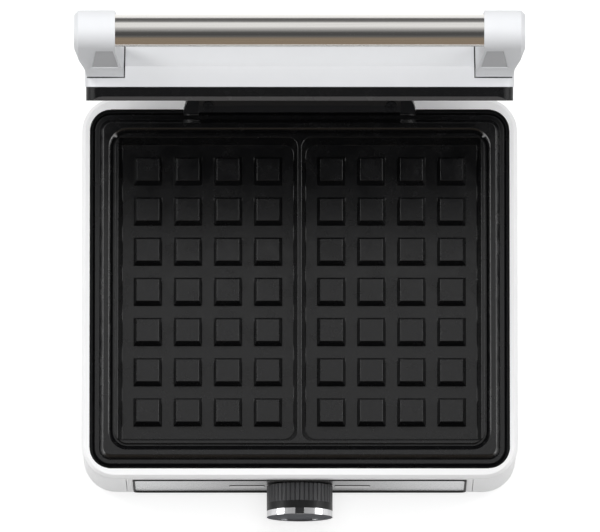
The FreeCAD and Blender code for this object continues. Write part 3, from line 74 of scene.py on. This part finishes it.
class Paint:
    """A material with one principled shader, and the nodes that give it detail."""

    def __init__(self, name, colour, roughness, metallic=0.0, specular=0.5, coat=0.0, edge=1.0):
        self.material = bpy.data.materials.new(name)
        self.material.use_nodes = True
        self.tree = self.material.node_tree
        self.shader = self.tree.nodes["Principled BSDF"]
        self.colour = colour
        self.roughness = roughness
        self.shader.inputs["Base Color"].default_value = (*colour, 1)
        self.shader.inputs["Roughness"].default_value = roughness
        self.shader.inputs["Metallic"].default_value = metallic
        self.shader.inputs["Specular IOR Level"].default_value = specular
        self.shader.inputs["Coat Weight"].default_value = coat
        self.shader.inputs["Specular Tint"].default_value = (edge, edge, edge, 1)
        self.place = self.node("ShaderNodeTexCoord").outputs["Object"]

    def node(self, kind):
        return self.tree.nodes.new(kind)

    def link(self, output, socket):
        self.tree.links.new(output, socket)

    def noise(self, scale, stretch=(1, 1, 1), detail=3):
        """Noise in the part's own frame, with scale in lumps per metre, stretched along some axes."""
        mapping = self.node("ShaderNodeMapping")
        mapping.inputs["Scale"].default_value = [scale * factor for factor in stretch]
        self.link(self.place, mapping.inputs["Vector"])
        texture = self.node("ShaderNodeTexNoise")
        texture.inputs["Scale"].default_value = 1
        texture.inputs["Detail"].default_value = detail
        self.link(mapping.outputs["Vector"], texture.inputs["Vector"])
        return texture.outputs["Fac"]

    def ramp(self, source, first, last, low=NOISE_LOW, high=NOISE_HIGH):
        """Spread a stretch of a texture's values over two colours."""
        ramp = self.node("ShaderNodeValToRGB")
        ramp.color_ramp.elements[0].position = low
        ramp.color_ramp.elements[0].color = (*first, 1)
        ramp.color_ramp.elements[1].position = high
        ramp.color_ramp.elements[1].color = (*last, 1)
        self.link(source, ramp.inputs["Fac"])
        return ramp.outputs["Color"]

    def tint(self, source, change):
        """Let the colour vary to both sides of its value."""
        darker = [channel * (1 - change) for channel in self.colour]
        lighter = [min(1, channel * (1 + change)) for channel in self.colour]
        self.link(self.ramp(source, darker, lighter), self.shader.inputs["Base Color"])

    def wear(self, source, change):
        """Let the roughness vary to both sides of its value."""
        smoother = [self.roughness - change] * 3
        rougher = [self.roughness + change] * 3
        self.link(self.ramp(source, smoother, rougher), self.shader.inputs["Roughness"])

    def bump(self, source, depth):
        """Let the surface look uneven by a depth in metres."""
        bump = self.node("ShaderNodeBump")
        bump.inputs["Distance"].default_value = depth
        bump.inputs["Strength"].default_value = 1
        self.link(source, bump.inputs["Height"])
        self.link(bump.outputs["Normal"], self.shader.inputs["Normal"])

    def along_axis(self, axis):
        """A point's place along one axis."""
        axes = self.node("ShaderNodeSeparateXYZ")
        self.link(self.place, axes.inputs["Vector"])
        return axes.outputs[axis]

    def scale_colour(self, measure, low, high, first, last):
        """Scale the colour by a factor from first to last, as a measure goes from low to high."""
        share = self.node("ShaderNodeMapRange")
        share.interpolation_type = "SMOOTHSTEP"
        for socket, value in (("From Min", low), ("From Max", high), ("To Min", first), ("To Max", last)):
            share.inputs[socket].default_value = value
        self.link(measure, share.inputs["Value"])
        product = self.node("ShaderNodeVectorMath")
        product.operation = "SCALE"
        colour = self.shader.inputs["Base Color"]
        self.link(colour.links[0].from_socket, product.inputs[0])
        self.link(share.outputs["Result"], product.inputs["Scale"])
        self.link(product.outputs["Vector"], colour)

    def shade_from_middle(self, reach, middle, end):
        """Let the colour's strength change from the object's middle to a reach on its left and right."""
        away = self.node("ShaderNodeMath")
        away.operation = "ABSOLUTE"
        self.link(self.along_axis("X"), away.inputs[0])
        self.scale_colour(away.outputs["Value"], 0, reach, middle, end)

    def darken_in_front(self, level, blur, factor):
        """Make what lies in front of a level darker."""
        self.scale_colour(self.along_axis("Y"), level - blur, level + blur, factor, 1)


# Detail of each kind of material, with scales in lumps per metre
MOTTLE_SCALE = 140
MOTTLE_CHANGE = 0.004
PLASTIC_WEAR_SCALE = 240
PLASTIC_WEAR = 0.02
COATING_ROUGHNESS = 0.24
SPECK_SCALE = 2600
SPECK_COLOUR = (0.04, 0.04, 0.042)
SPECKS_START = 0.66
SPECKS_FULL = 0.76
COATING_WEAR_SCALE = 90
COATING_WEAR = 0.05
ORANGE_PEEL_SCALE = 1500
ORANGE_PEEL_DEPTH = 0.03 * MM
LINE_SCALE = 6000
LINE_STRETCH = 0.004
LINE_TINT = 0.05
LINE_WEAR_SHARE = 0.3
LINE_DEPTH = 0.003 * MM


def moulded_plastic(name, colour, roughness, grain, depth, specular=0.5, coat=0.0):
    """Plastic with a faint mottle and the fine grain of its mould."""
    paint = Paint(name, colour, roughness, specular=specular, coat=coat)
    paint.tint(paint.noise(MOTTLE_SCALE), MOTTLE_CHANGE)
    paint.wear(paint.noise(PLASTIC_WEAR_SCALE), PLASTIC_WEAR)
    paint.bump(paint.noise(grain), depth)
    return paint


def non_stick_coating(name, colour, specular):
    """A sprayed black coating: fine orange peel with lighter specks in it."""
    paint = Paint(name, colour, COATING_ROUGHNESS, specular=specular)
    specks = paint.noise(SPECK_SCALE, detail=1)
    paint.link(paint.ramp(specks, paint.colour, SPECK_COLOUR, SPECKS_START, SPECKS_FULL),
               paint.shader.inputs["Base Color"])
    paint.wear(paint.noise(COATING_WEAR_SCALE), COATING_WEAR)
    paint.bump(paint.noise(ORANGE_PEEL_SCALE), ORANGE_PEEL_DEPTH)
    return paint


def drawn_steel(name, colour, roughness, along, edge=1.0):
    """Metal with fine lines along an axis; edge says how much of its shine is left at a low angle."""
    paint = Paint(name, colour, roughness, metallic=1.0, edge=edge)
    stretch = [LINE_STRETCH if axis == along else 1 for axis in (X_AXIS, Y_AXIS, Z_AXIS)]
    lines = paint.noise(LINE_SCALE, stretch)
    paint.tint(lines, LINE_TINT)
    paint.wear(lines, roughness * LINE_WEAR_SHARE)
    paint.bump(lines, LINE_DEPTH)
    return paint


# Grain of the moulds, in lumps per metre and depth
GLOSS_MOULD = (900, 0.006 * MM)
MATT_MOULD = (1800, 0.02 * MM)
ENAMEL_GRAIN = (1400, 0.02 * MM)
RUBBER_GRAIN = (2200, 0.03 * MM)
CERAMIC_GRAIN = (1200, 0.02 * MM)
LENS_GRAIN = (500, 0.004 * MM)
LAMP_GRAIN = (400, 0.004 * MM)

white_plastic = moulded_plastic("white_plastic", (0.885, 0.885, 0.89), 0.3, *GLOSS_MOULD, specular=0.3)
# The lid and its brackets are the base's white plastic, painted darker than the base as painted shade.
painted_shade_lid_plastic = moulded_plastic("painted_shade_lid_plastic", (0.745, 0.755, 0.775), 0.3, *GLOSS_MOULD, specular=0.12)
# A darker grey of the same plastic for the floor of the brackets' recess: painted shade.
painted_shade_recess = moulded_plastic("painted_shade_recess", (0.5, 0.505, 0.52), 0.45, *GLOSS_MOULD, specular=0.3)
coating = non_stick_coating("non_stick_coating", (0.004, 0.004, 0.0045), specular=0.6)
upper_coating = non_stick_coating("upper_coating", (0.006, 0.006, 0.0065), specular=0.08)
# A lighter grey of the coating for the upper plate's chamfer: a painted sheen of its rounded edge.
painted_sheen_coating = non_stick_coating("painted_sheen_coating", (0.075, 0.075, 0.078), specular=0.25)
knob_plastic = moulded_plastic("knob_plastic", (0.06, 0.06, 0.063), 0.4, *MATT_MOULD, specular=0.2)
black_plastic = moulded_plastic("black_plastic", (0.012, 0.012, 0.013), 0.42, *MATT_MOULD, specular=0.3)
black_enamel = moulded_plastic("black_enamel", (0.012, 0.012, 0.0135), 0.45, *ENAMEL_GRAIN, specular=0.3)
rubber = moulded_plastic("black_rubber", (0.018, 0.018, 0.018), 0.75, *RUBBER_GRAIN)
polished_steel = drawn_steel("polished_steel", (0.72, 0.705, 0.68), 0.12, X_AXIS)
panel_metal = drawn_steel("panel_metal", (0.44, 0.445, 0.45), 0.3, X_AXIS, edge=0.75)
chrome = drawn_steel("chrome", (0.62, 0.62, 0.63), 0.1, Y_AXIS, edge=0.8)
satin_face = drawn_steel("satin_face", (0.15, 0.155, 0.17), 0.38, X_AXIS, edge=0.25)
plain_steel = drawn_steel("plain_steel", (0.52, 0.52, 0.53), 0.35, Z_AXIS)
element_sheath = drawn_steel("element_sheath", (0.16, 0.15, 0.14), 0.5, Y_AXIS)
dark_lens = moulded_plastic("dark_lens", (0.012, 0.008, 0.008), 0.12, *LENS_GRAIN, coat=0.5)
ceramic = moulded_plastic("ceramic", (0.62, 0.6, 0.54), 0.6, *CERAMIC_GRAIN)
lamp_glass = moulded_plastic("lamp_glass", (0.7, 0.3, 0.12), 0.1, *LAMP_GRAIN)

# The band round the knob's front; and painted shade and reflection on the panel, darker behind the knob and
# lighter towards its ends
KNOB_BAND = 4.6 * MM
knob_plastic.darken_in_front(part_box("knob_grip")[0].y + KNOB_BAND, blur=0.1 * MM, factor=0.12)
# The panel's colour is scaled from 0.4 behind the knob to 1.5 at its ends: painted shade and reflection.
panel_metal.shade_from_middle(reach=100 * MM, middle=0.4, end=1.5)

# Each node's material and the rounding of its edges
DRESS = {
    "base_housing": (white_plastic, 0.8 * MM),
    "base_bezel": (white_plastic, 0.9 * MM),
    "bottom_cover": (black_plastic, 0.4 * MM),
    "bottom_screws": (plain_steel, 0.2 * MM),
    "rubber_feet": (rubber, 0.8 * MM),
    "cord_gland": (rubber, 0.6 * MM),
    "terminal_block": (ceramic, 0.4 * MM),
    "thermal_fuse": (ceramic, 0.3 * MM),
    "lower_plate": (coating, 1.6 * MM),
    "lower_plate_screws": (plain_steel, 0.2 * MM),
    "lower_heating_element": (element_sheath, 1.0 * MM),
    "lower_reflector": (plain_steel, 0.2 * MM),
    "front_fascia": (white_plastic, 0.25 * MM),
    "panel_gasket": (rubber, 0.1 * MM),
    "control_panel": (panel_metal, 0.2 * MM),
    "pilot_lenses": (dark_lens, 0.15 * MM),
    "pilot_lamps": (lamp_glass, 0.3 * MM),
    "thermostat_body": (ceramic, 0.3 * MM),
    "thermostat_screws": (plain_steel, 0.2 * MM),
    "hinge_bracket": (black_enamel, 0.5 * MM),
    "hinge_screws": (black_enamel, 0.2 * MM),
    "hinge_pin": (plain_steel, 0.3 * MM),
    "hinge_clips": (plain_steel, 0.15 * MM),
    "lid_shell": (painted_shade_lid_plastic, 1.2 * MM),
    "upper_plate": (upper_coating, 1.1 * MM),
    "upper_heating_element": (element_sheath, 1.0 * MM),
    "upper_reflector": (plain_steel, 0.2 * MM),
    "handle_bracket_left": (painted_shade_lid_plastic, 0.7 * MM),
    "handle_bracket_right": (painted_shade_lid_plastic, 0.7 * MM),
    "handle_tube": (polished_steel, 0.2 * MM),
    "handle_screws": (plain_steel, 0.2 * MM),
    "lid_hinge_arms": (black_enamel, 0.5 * MM),
    "lid_hinge_screws": (plain_steel, 0.2 * MM),
    "thermostat_spindle": (plain_steel, 0.1 * MM),
    "knob_grip": (knob_plastic, 0.12 * MM),
    "knob_cap": (chrome, 0.3 * MM),
    "knob_pointer": (black_plastic, 0.2 * MM),
}
ROUNDED_ANGLE = 20
ROUND_SEGMENTS = 3
FLAT_ANGLE = 0.5
JOIN_DISTANCE = 0.01 * MM


def dress(piece, paint, rounding):
    """Give a piece its material, and round its edges by modifiers."""
    mesh = piece.data
    mesh.materials.clear()
    mesh.materials.append(paint.material)
    mesh.polygons.foreach_set("use_smooth", [True] * len(mesh.polygons))
    if "custom_normal" in mesh.attributes:
        mesh.attributes.remove(mesh.attributes["custom_normal"])
    join = piece.modifiers.new("join", "WELD")
    join.merge_threshold = JOIN_DISTANCE
    flatten = piece.modifiers.new("flatten", "DECIMATE")
    flatten.decimate_type = "DISSOLVE"
    flatten.angle_limit = math.radians(FLAT_ANGLE)
    flatten.delimit = {"MATERIAL"}
    rounds = piece.modifiers.new("rounds", "BEVEL")
    rounds.width = rounding
    rounds.segments = ROUND_SEGMENTS
    rounds.limit_method = "ANGLE"
    rounds.angle_limit = math.radians(ROUNDED_ANGLE)
    rounds.harden_normals = True


def paint_where(piece, paint, chosen):
    """Give the faces of a piece that are chosen by their middle and normal a second material."""
    mesh = piece.data
    mesh.materials.append(paint.material)
    for polygon in mesh.polygons:
        if chosen(polygon.center, polygon.normal):
            polygon.material_index = 1


for name, (paint, rounding) in DRESS.items():
    dress(nodes[name], paint, rounding)

# Faces with a second material: the knob's face; the gap round the lower plate, painted black as painted
# shade; and the upper plate's chamfer, painted lighter as a painted sheen
FACES_FRONT = -0.3
FACES_UP = 0.9
PLATE_GAP = 1.8 * MM
GAP_DEPTH = 1.0 * MM
CHAMFER_NORMAL = Vector((0, -0.81, 0.59))
NEARLY_ALONG = 0.97
plate_low, plate_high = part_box("lower_plate")
gap_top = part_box("base_bezel")[1].z - GAP_DEPTH


def in_the_gap(middle, normal):
    """Whether a face of the bezel lies in the gap round the plate, and doesn't face outwards."""
    inside = all(plate_low[axis] - PLATE_GAP < middle[axis] < plate_high[axis] + PLATE_GAP
                 for axis in (X_AXIS, Y_AXIS))
    outwards = normal.dot(middle - (plate_low + plate_high) / 2) > 0 and normal.z < FACES_UP
    return inside and middle.z < gap_top and not outwards


paint_where(nodes["knob_cap"], satin_face, lambda middle, normal: normal.y < FACES_FRONT)
# The bezel's faces in the gap round the lower plate are painted black: painted shade in the gap.
paint_where(nodes["base_bezel"], black_plastic, in_the_gap)
# The upper plate's chamfer is painted lighter grey: a painted sheen.
paint_where(nodes["upper_plate"], painted_sheen_coating,
            lambda middle, normal: normal.dot(CHAMFER_NORMAL) > NEARLY_ALONG)

# Handle brackets with a shallow recess in front, whose floor is painted darker as painted shade

# The right recess's corners as x, z and depth in millimetres, in order round it
RECESS_CORNERS = ((109.9, 353.6, 1.6), (120.3, 353.6, 1.6), (123.0, 326.0, 0.5), (106.6, 326.0, 0.5))
RECESS_MIDDLE = (115.0, 340.0)
RECESS_DRAFT = 0.6
STRUT_FACES_FRONT = -0.95
SAME_PLACE = 1.0 * MM


def recessed_bracket(name, node_name, side):
    """A handle bracket's own shape, with a recess in its strut's front that is deeper under the tube."""
    made = bmesh.new()
    made.from_mesh(nodes[node_name].data)
    bmesh.ops.remove_doubles(made, verts=made.verts, dist=JOIN_DISTANCE)
    bmesh.ops.dissolve_limit(made, angle_limit=math.radians(FLAT_ANGLE), verts=made.verts, edges=made.edges)
    front_faces = [face for face in made.faces if face.normal.y < STRUT_FACES_FRONT]
    front = max(front_faces, key=lambda face: face.calc_area())
    normal = front.normal.copy()
    anchor = front.verts[0].co.copy()
    outer_edges = list(front.edges)
    bmesh.ops.delete(made, geom=[front], context="FACES_ONLY")

    def below_front(x, z, depth):
        """A vertex at a place on the front face, in millimetres, set back by a depth."""
        place = Vector((side * x, 0, z)) * MM
        along = place - anchor
        place.y = anchor.y - (along.z * normal.z + along.x * normal.x) / normal.y
        return made.verts.new(place - normal * depth * MM)

    rim = []
    floor = []
    for x, z, depth in RECESS_CORNERS:
        rim.append(below_front(x, z, 0))
        floor.append(below_front(x + math.copysign(RECESS_DRAFT, RECESS_MIDDLE[0] - x),
                                 z + math.copysign(RECESS_DRAFT, RECESS_MIDDLE[1] - z), depth))
    inner_edges = []
    for place in range(len(rim)):
        after = (place + 1) % len(rim)
        inner_edges.append(made.edges.new((rim[place], rim[after])))
        made.faces.new((rim[place], rim[after], floor[after], floor[place]))
    made.faces.new(floor)
    bmesh.ops.triangle_fill(made, edges=outer_edges + inner_edges, use_beauty=True, normal=normal)
    bmesh.ops.recalc_face_normals(made, faces=made.faces)
    floor_middle = sum((vert.co for vert in floor), Vector()) / len(floor)
    mesh = bpy.data.meshes.new(name)
    made.to_mesh(mesh)
    made.free()
    bracket = add_object(name, mesh)
    dress(bracket, *DRESS[node_name])
    # The recess's floor is painted darker grey: painted shade of the recess.
    paint_where(bracket, painted_shade_recess, lambda middle, normal: (middle - floor_middle).length < SAME_PLACE)
    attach(bracket, "lid")
    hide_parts(node_name)


recessed_bracket("recessed_bracket_left", "handle_bracket_left", -1)
recessed_bracket("recessed_bracket_right", "handle_bracket_right", 1)

# Thin dark beads: painted shade round the brackets' feet and round the control panel

# The shut lid and the brackets' feet, in millimetres; rises are measured from the parting plane
PARTING = 78.0
LID_FRONT = -114.75
LID_HALF_WIDTH = 127.0
LID_CORNER = 11.0
LID_CREASE = 20.8
LID_TOP = 37.5
LID_SLOPE_RUN = 30.0
FOOT_RISE = 14.6
FOOT_INNER = 103.9
FOOT_OUTER = 125.5
SHADOW_LINE_RADIUS = 0.4
SHADOW_LINE_CORNER_STEPS = 3
BEAD_RESOLUTION = 2
lid_hinge = next(joint for joint in frame["record"]["behaviour"]["joints"] if joint["name"] == "lid_hinge")
hinge_place = Vector(lid_hinge["pos_m"])
open_turn = Matrix.Rotation(-math.radians(lid_hinge["range_deg"][1]), 4, "X")
lid_opened = Matrix.Translation(hinge_place) @ open_turn @ Matrix.Translation(-hinge_place)


def trim_along(name, points, radius, body):
    """A thin round bead along some points."""
    data = bpy.data.curves.new(name, "CURVE")
    data.dimensions = "3D"
    data.bevel_depth = radius
    data.bevel_resolution = BEAD_RESOLUTION
    data.use_fill_caps = True
    line = data.splines.new("POLY")
    line.points.add(len(points) - 1)
    for knot, point in zip(line.points, points):
        knot.co = (*point, 1)
    data.materials.append(rubber.material)
    trim = add_object(name, data)
    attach(trim, body)


def bracket_shadow_line(name, side):
    """A dark bead round a handle bracket's foot, where it is seated on the lid: painted shade of the joint.
    """
    level = FOOT_RISE - SHADOW_LINE_RADIUS
    first = math.acos((FOOT_OUTER - LID_HALF_WIDTH + LID_CORNER) / LID_CORNER)
    places = []
    for step in range(SHADOW_LINE_CORNER_STEPS + 1):
        angle = first + (math.pi / 2 - first) * step / SHADOW_LINE_CORNER_STEPS
        places.append((LID_HALF_WIDTH - LID_CORNER + LID_CORNER * math.cos(angle),
                       LID_FRONT + LID_CORNER - LID_CORNER * math.sin(angle), level))
    inner = FOOT_INNER - SHADOW_LINE_RADIUS
    run = LID_HALF_WIDTH - inner
    places.append((inner, LID_FRONT, level))
    places.append((inner, LID_FRONT, LID_CREASE))
    places.append((inner, LID_FRONT + run, LID_CREASE + (LID_TOP - LID_CREASE) * run / LID_SLOPE_RUN))
    points = [lid_opened @ (Vector((side * x, y, PARTING + rise)) * MM) for x, y, rise in places]
    trim_along(name, points, SHADOW_LINE_RADIUS * MM, "lid")


bracket_shadow_line("bracket_seal_left", -1)
bracket_shadow_line("bracket_seal_right", 1)

PANEL_CORNER = 4.2 * MM
PANEL_CORNER_STEPS = 4
PANEL_SHADOW_WIDTH = 1.1 * MM
PANEL_SHADOW_PROUD = 1.0 * MM


def rounded_frame(name, low, high, corner, width, front, back):
    """A flat frame with round corners, upright and facing the front."""
    made = bmesh.new()
    loops = []
    corners = ((high[0], high[1]), (low[0], high[1]), (low[0], low[1]), (high[0], low[1]))
    for level, inset in ((front, 0), (front, width), (back, width), (back, 0)):
        radius = corner - inset
        loop = []
        for turn, (x, z) in enumerate(corners):
            centre_x = x - math.copysign(corner, x)
            centre_z = z - corner if z == high[1] else z + corner
            for step in range(PANEL_CORNER_STEPS + 1):
                angle = math.pi / 2 * (turn + step / PANEL_CORNER_STEPS)
                loop.append(made.verts.new((centre_x + radius * math.cos(angle), level,
                                            centre_z + radius * math.sin(angle))))
        loops.append(loop)
    for near, far in zip(loops, loops[1:] + loops[:1]):
        for place in range(len(near)):
            after = (place + 1) % len(near)
            made.faces.new((near[place], near[after], far[after], far[place]))
    bmesh.ops.recalc_face_normals(made, faces=made.faces)
    mesh = bpy.data.meshes.new(name)
    made.to_mesh(mesh)
    made.free()
    mesh.materials.append(rubber.material)
    return add_object(name, mesh)


# A dark frame standing proud round the control panel: painted shade of the gap between the panel and the
# fascia.
panel_low, panel_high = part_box("control_panel")
panel_shadow_line = rounded_frame("panel_shadow_line", (panel_low.x - PANEL_SHADOW_WIDTH, panel_low.z - PANEL_SHADOW_WIDTH),
                           (panel_high.x + PANEL_SHADOW_WIDTH, panel_high.z + PANEL_SHADOW_WIDTH), PANEL_CORNER, PANEL_SHADOW_WIDTH,
                           panel_low.y - PANEL_SHADOW_PROUD, panel_high.y)
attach(panel_shadow_line, "base")

# Floor, world and lights

WHITE = (1, 1, 1, 1)
FLOOR_HALF = 30.0
FLOOR_COLOUR = (0.55, 0.55, 0.55)
FLOOR_ROUGHNESS = 0.9
FLOOR_LIFT = 0.64
WORLD_LIGHT = 0.36
OBJECT_MIDDLE = Vector((0, 0, 0.1))

# Each light's size, power in watts and place
LIGHTS = {
    "left_light": (1.2, 27, (-1.7, 1.3, 1.7)),
    "right_light": (1.4, 19, (1.9, 1.2, 1.7)),
    "overhead": (1.4, 32, (0.1, -0.2, 2.7)),
}


def seen_straight(tree):
    """One for rays that show a surface as it is, to the eye or in metal and glass, and zero for others."""
    path = tree.nodes.new("ShaderNodeLightPath")
    seen = path.outputs["Is Camera Ray"]
    for other in ("Is Glossy Ray", "Is Transmission Ray"):
        either = tree.nodes.new("ShaderNodeMath")
        either.operation = "MAXIMUM"
        tree.links.new(seen, either.inputs[0])
        tree.links.new(path.outputs[other], either.inputs[1])
        seen = either.outputs["Value"]
    return seen


def spread(tree, source, low, high):
    """Turn zero and one into two other values."""
    spread_out = tree.nodes.new("ShaderNodeMapRange")
    spread_out.inputs["To Min"].default_value = low
    spread_out.inputs["To Max"].default_value = high
    tree.links.new(source, spread_out.inputs["Value"])
    return spread_out.outputs["Result"]


def sheet_between(name, low_edge, high_edge):
    """One flat face between two edges."""
    mesh = bpy.data.meshes.new(name)
    mesh.from_pydata(low_edge + high_edge[::-1], [], [(0, 1, 2, 3)])
    sheet = add_object(name, mesh)
    return sheet


def white_floor():
    """A pale floor that is lifted to white where it is seen, except where the object shades it."""
    floor = sheet_between("floor", [(-FLOOR_HALF, -FLOOR_HALF, 0), (FLOOR_HALF, -FLOOR_HALF, 0)],
                          [(-FLOOR_HALF, FLOOR_HALF, 0), (FLOOR_HALF, FLOOR_HALF, 0)])
    paint = Paint("floor", FLOOR_COLOUR, FLOOR_ROUGHNESS, specular=0.0)
    paint.shader.inputs["Emission Color"].default_value = WHITE
    lift = spread(paint.tree, seen_straight(paint.tree), 0, FLOOR_LIFT)
    paint.link(lift, paint.shader.inputs["Emission Strength"])
    floor.data.materials.append(paint.material)


def white_world():
    """A world that is white where it is seen, and gives a weaker light."""
    world = bpy.data.worlds.new("world")
    bpy.context.scene.world = world
    world.use_nodes = True
    background = world.node_tree.nodes["Background"]
    background.inputs["Color"].default_value = WHITE
    strength = spread(world.node_tree, seen_straight(world.node_tree), WORLD_LIGHT, 1)
    world.node_tree.links.new(strength, background.inputs["Strength"])


def soft_light(name, size, power, place):
    """A square area light that faces the object, and is seen neither straight nor in reflections."""
    lamp = bpy.data.lights.new(name, "AREA")
    lamp.size = size
    lamp.energy = power
    light = add_object(name, lamp)
    light.location = place
    direction = OBJECT_MIDDLE - Vector(place)
    light.rotation_euler = direction.to_track_quat("-Z", "Y").to_euler()
    light.visible_camera = False
    light.visible_glossy = False


white_floor()
white_world()
for name, (size, power, place) in LIGHTS.items():
    soft_light(name, size, power, place)

# Cards that are seen in reflections alone

CARD_REACH = 6.0
CARD_FRONT = -3.0
CARD_TOP = 2.8
CARD_RISE = 0.001
TOP_CARD_BACK = 0.9
FLOOR_CARD_BACK = -0.32
FLOOR_CARD_LEVEL = 0.002
BACK_CARD = 3.0
BACK_CARD_LOW = 0.4
BACK_CARD_HIGH = 3.0
SIDE_CARD = 1.6
SIDE_FRONT = -1.5
SIDE_BACK = 0.4
SIDE_LOW = 0.15
SIDE_HIGH = 1.1


def grey(value):
    return (value, value, value)


# Shades from a card's low edge, at 0, to its high edge, at 1
BROWN = (0.31, 0.25, 0.19)
FRONT_SHADES = [(0.0, BROWN), (0.55, BROWN), (1.0, grey(0.14))]
TOP_SHADES = [(0.0, grey(0.14)), (0.34, grey(0.08)), (0.55, grey(0.11)), (0.71, grey(0.34)),
              (0.86, grey(0.62)), (1.0, grey(1.0))]
FLOOR_SHADES = [(0.0, BROWN), (1.0, BROWN)]
BACK_SHADES = [(0.0, grey(0.25)), (0.4, grey(0.12)), (0.84, grey(0.42)), (1.0, grey(0.9))]
SIDE_SHADES = [(0.0, grey(5.0)), (1.0, grey(5.0))]


def crosswise(y, z):
    """A card's edge from left to right."""
    return [(-CARD_REACH, y, z), (CARD_REACH, y, z)]


def lengthwise(x, z):
    """A card's edge from the front to the back."""
    return [(x, SIDE_FRONT, z), (x, SIDE_BACK, z)]


def reflection_card(name, low_edge, high_edge, shades):
    """A glowing sheet, with shades from its low edge to its high edge."""
    card = sheet_between(name, low_edge, high_edge)
    card.visible_camera = False
    card.visible_diffuse = False
    card.visible_transmission = False
    card.visible_shadow = False
    material = bpy.data.materials.new(name)
    material.use_nodes = True
    tree = material.node_tree
    place = tree.nodes.new("ShaderNodeTexCoord")
    axes = tree.nodes.new("ShaderNodeSeparateXYZ")
    tree.links.new(place.outputs["Generated"], axes.inputs["Vector"])
    ramp = tree.nodes.new("ShaderNodeValToRGB")
    stops = ramp.color_ramp.elements
    for position, shade in shades[1:-1]:
        stops.new(position)
    for stop, (position, shade) in zip(stops, shades):
        stop.position = position
        stop.color = (*shade, 1)
    tree.links.new(axes.outputs["Z"], ramp.inputs["Fac"])
    glow = tree.nodes.new("ShaderNodeEmission")
    tree.links.new(ramp.outputs["Color"], glow.inputs["Color"])
    tree.links.new(glow.outputs["Emission"], tree.nodes["Material Output"].inputs["Surface"])
    card.data.materials.append(material)


reflection_card("front_card", crosswise(CARD_FRONT, 0.0), crosswise(CARD_FRONT, CARD_TOP), FRONT_SHADES)
reflection_card("top_card", crosswise(CARD_FRONT, CARD_TOP), crosswise(TOP_CARD_BACK, CARD_TOP + CARD_RISE),
                TOP_SHADES)
reflection_card("floor_card", crosswise(FLOOR_CARD_BACK, FLOOR_CARD_LEVEL),
                crosswise(CARD_FRONT, FLOOR_CARD_LEVEL + CARD_RISE), FLOOR_SHADES)
reflection_card("back_card", crosswise(BACK_CARD, BACK_CARD_LOW), crosswise(BACK_CARD, BACK_CARD_HIGH),
                BACK_SHADES)
for name, x in (("left_card", -SIDE_CARD), ("right_card", SIDE_CARD)):
    reflection_card(name, lengthwise(x, SIDE_LOW), lengthwise(x, SIDE_HIGH), SIDE_SHADES)

# Camera

# The photograph's width, its scale at the plates' level and the place at its middle
IMAGE_WIDTH = 600
PIXELS_PER_MM = 1.65
PICTURE_MIDDLE = Vector((0.2, 8.6, 78.0)) * MM
CAMERA_ELEVATION = 82
CAMERA_DISTANCE = 9.0
SENSOR_WIDTH = 36.0
FARTHEST_SEEN = 36.0


def photo_camera():
    """A long lens above the plates, tilted a little to the front."""
    data = bpy.data.cameras.new("camera")
    data.sensor_width = SENSOR_WIDTH
    seen_width = IMAGE_WIDTH / PIXELS_PER_MM * MM
    data.lens = SENSOR_WIDTH * CAMERA_DISTANCE / seen_width
    data.clip_end = FARTHEST_SEEN
    camera = add_object("camera", data)
    tilt = math.radians(CAMERA_ELEVATION)
    camera.location = PICTURE_MIDDLE + CAMERA_DISTANCE * Vector((0, -math.cos(tilt), math.sin(tilt)))
    camera.rotation_euler = (math.pi / 2 - tilt, 0, 0)
    bpy.context.scene.camera = camera


photo_camera()
bpy.context.scene.view_settings.view_transform = "Standard"

bpy.context.view_layer.update()
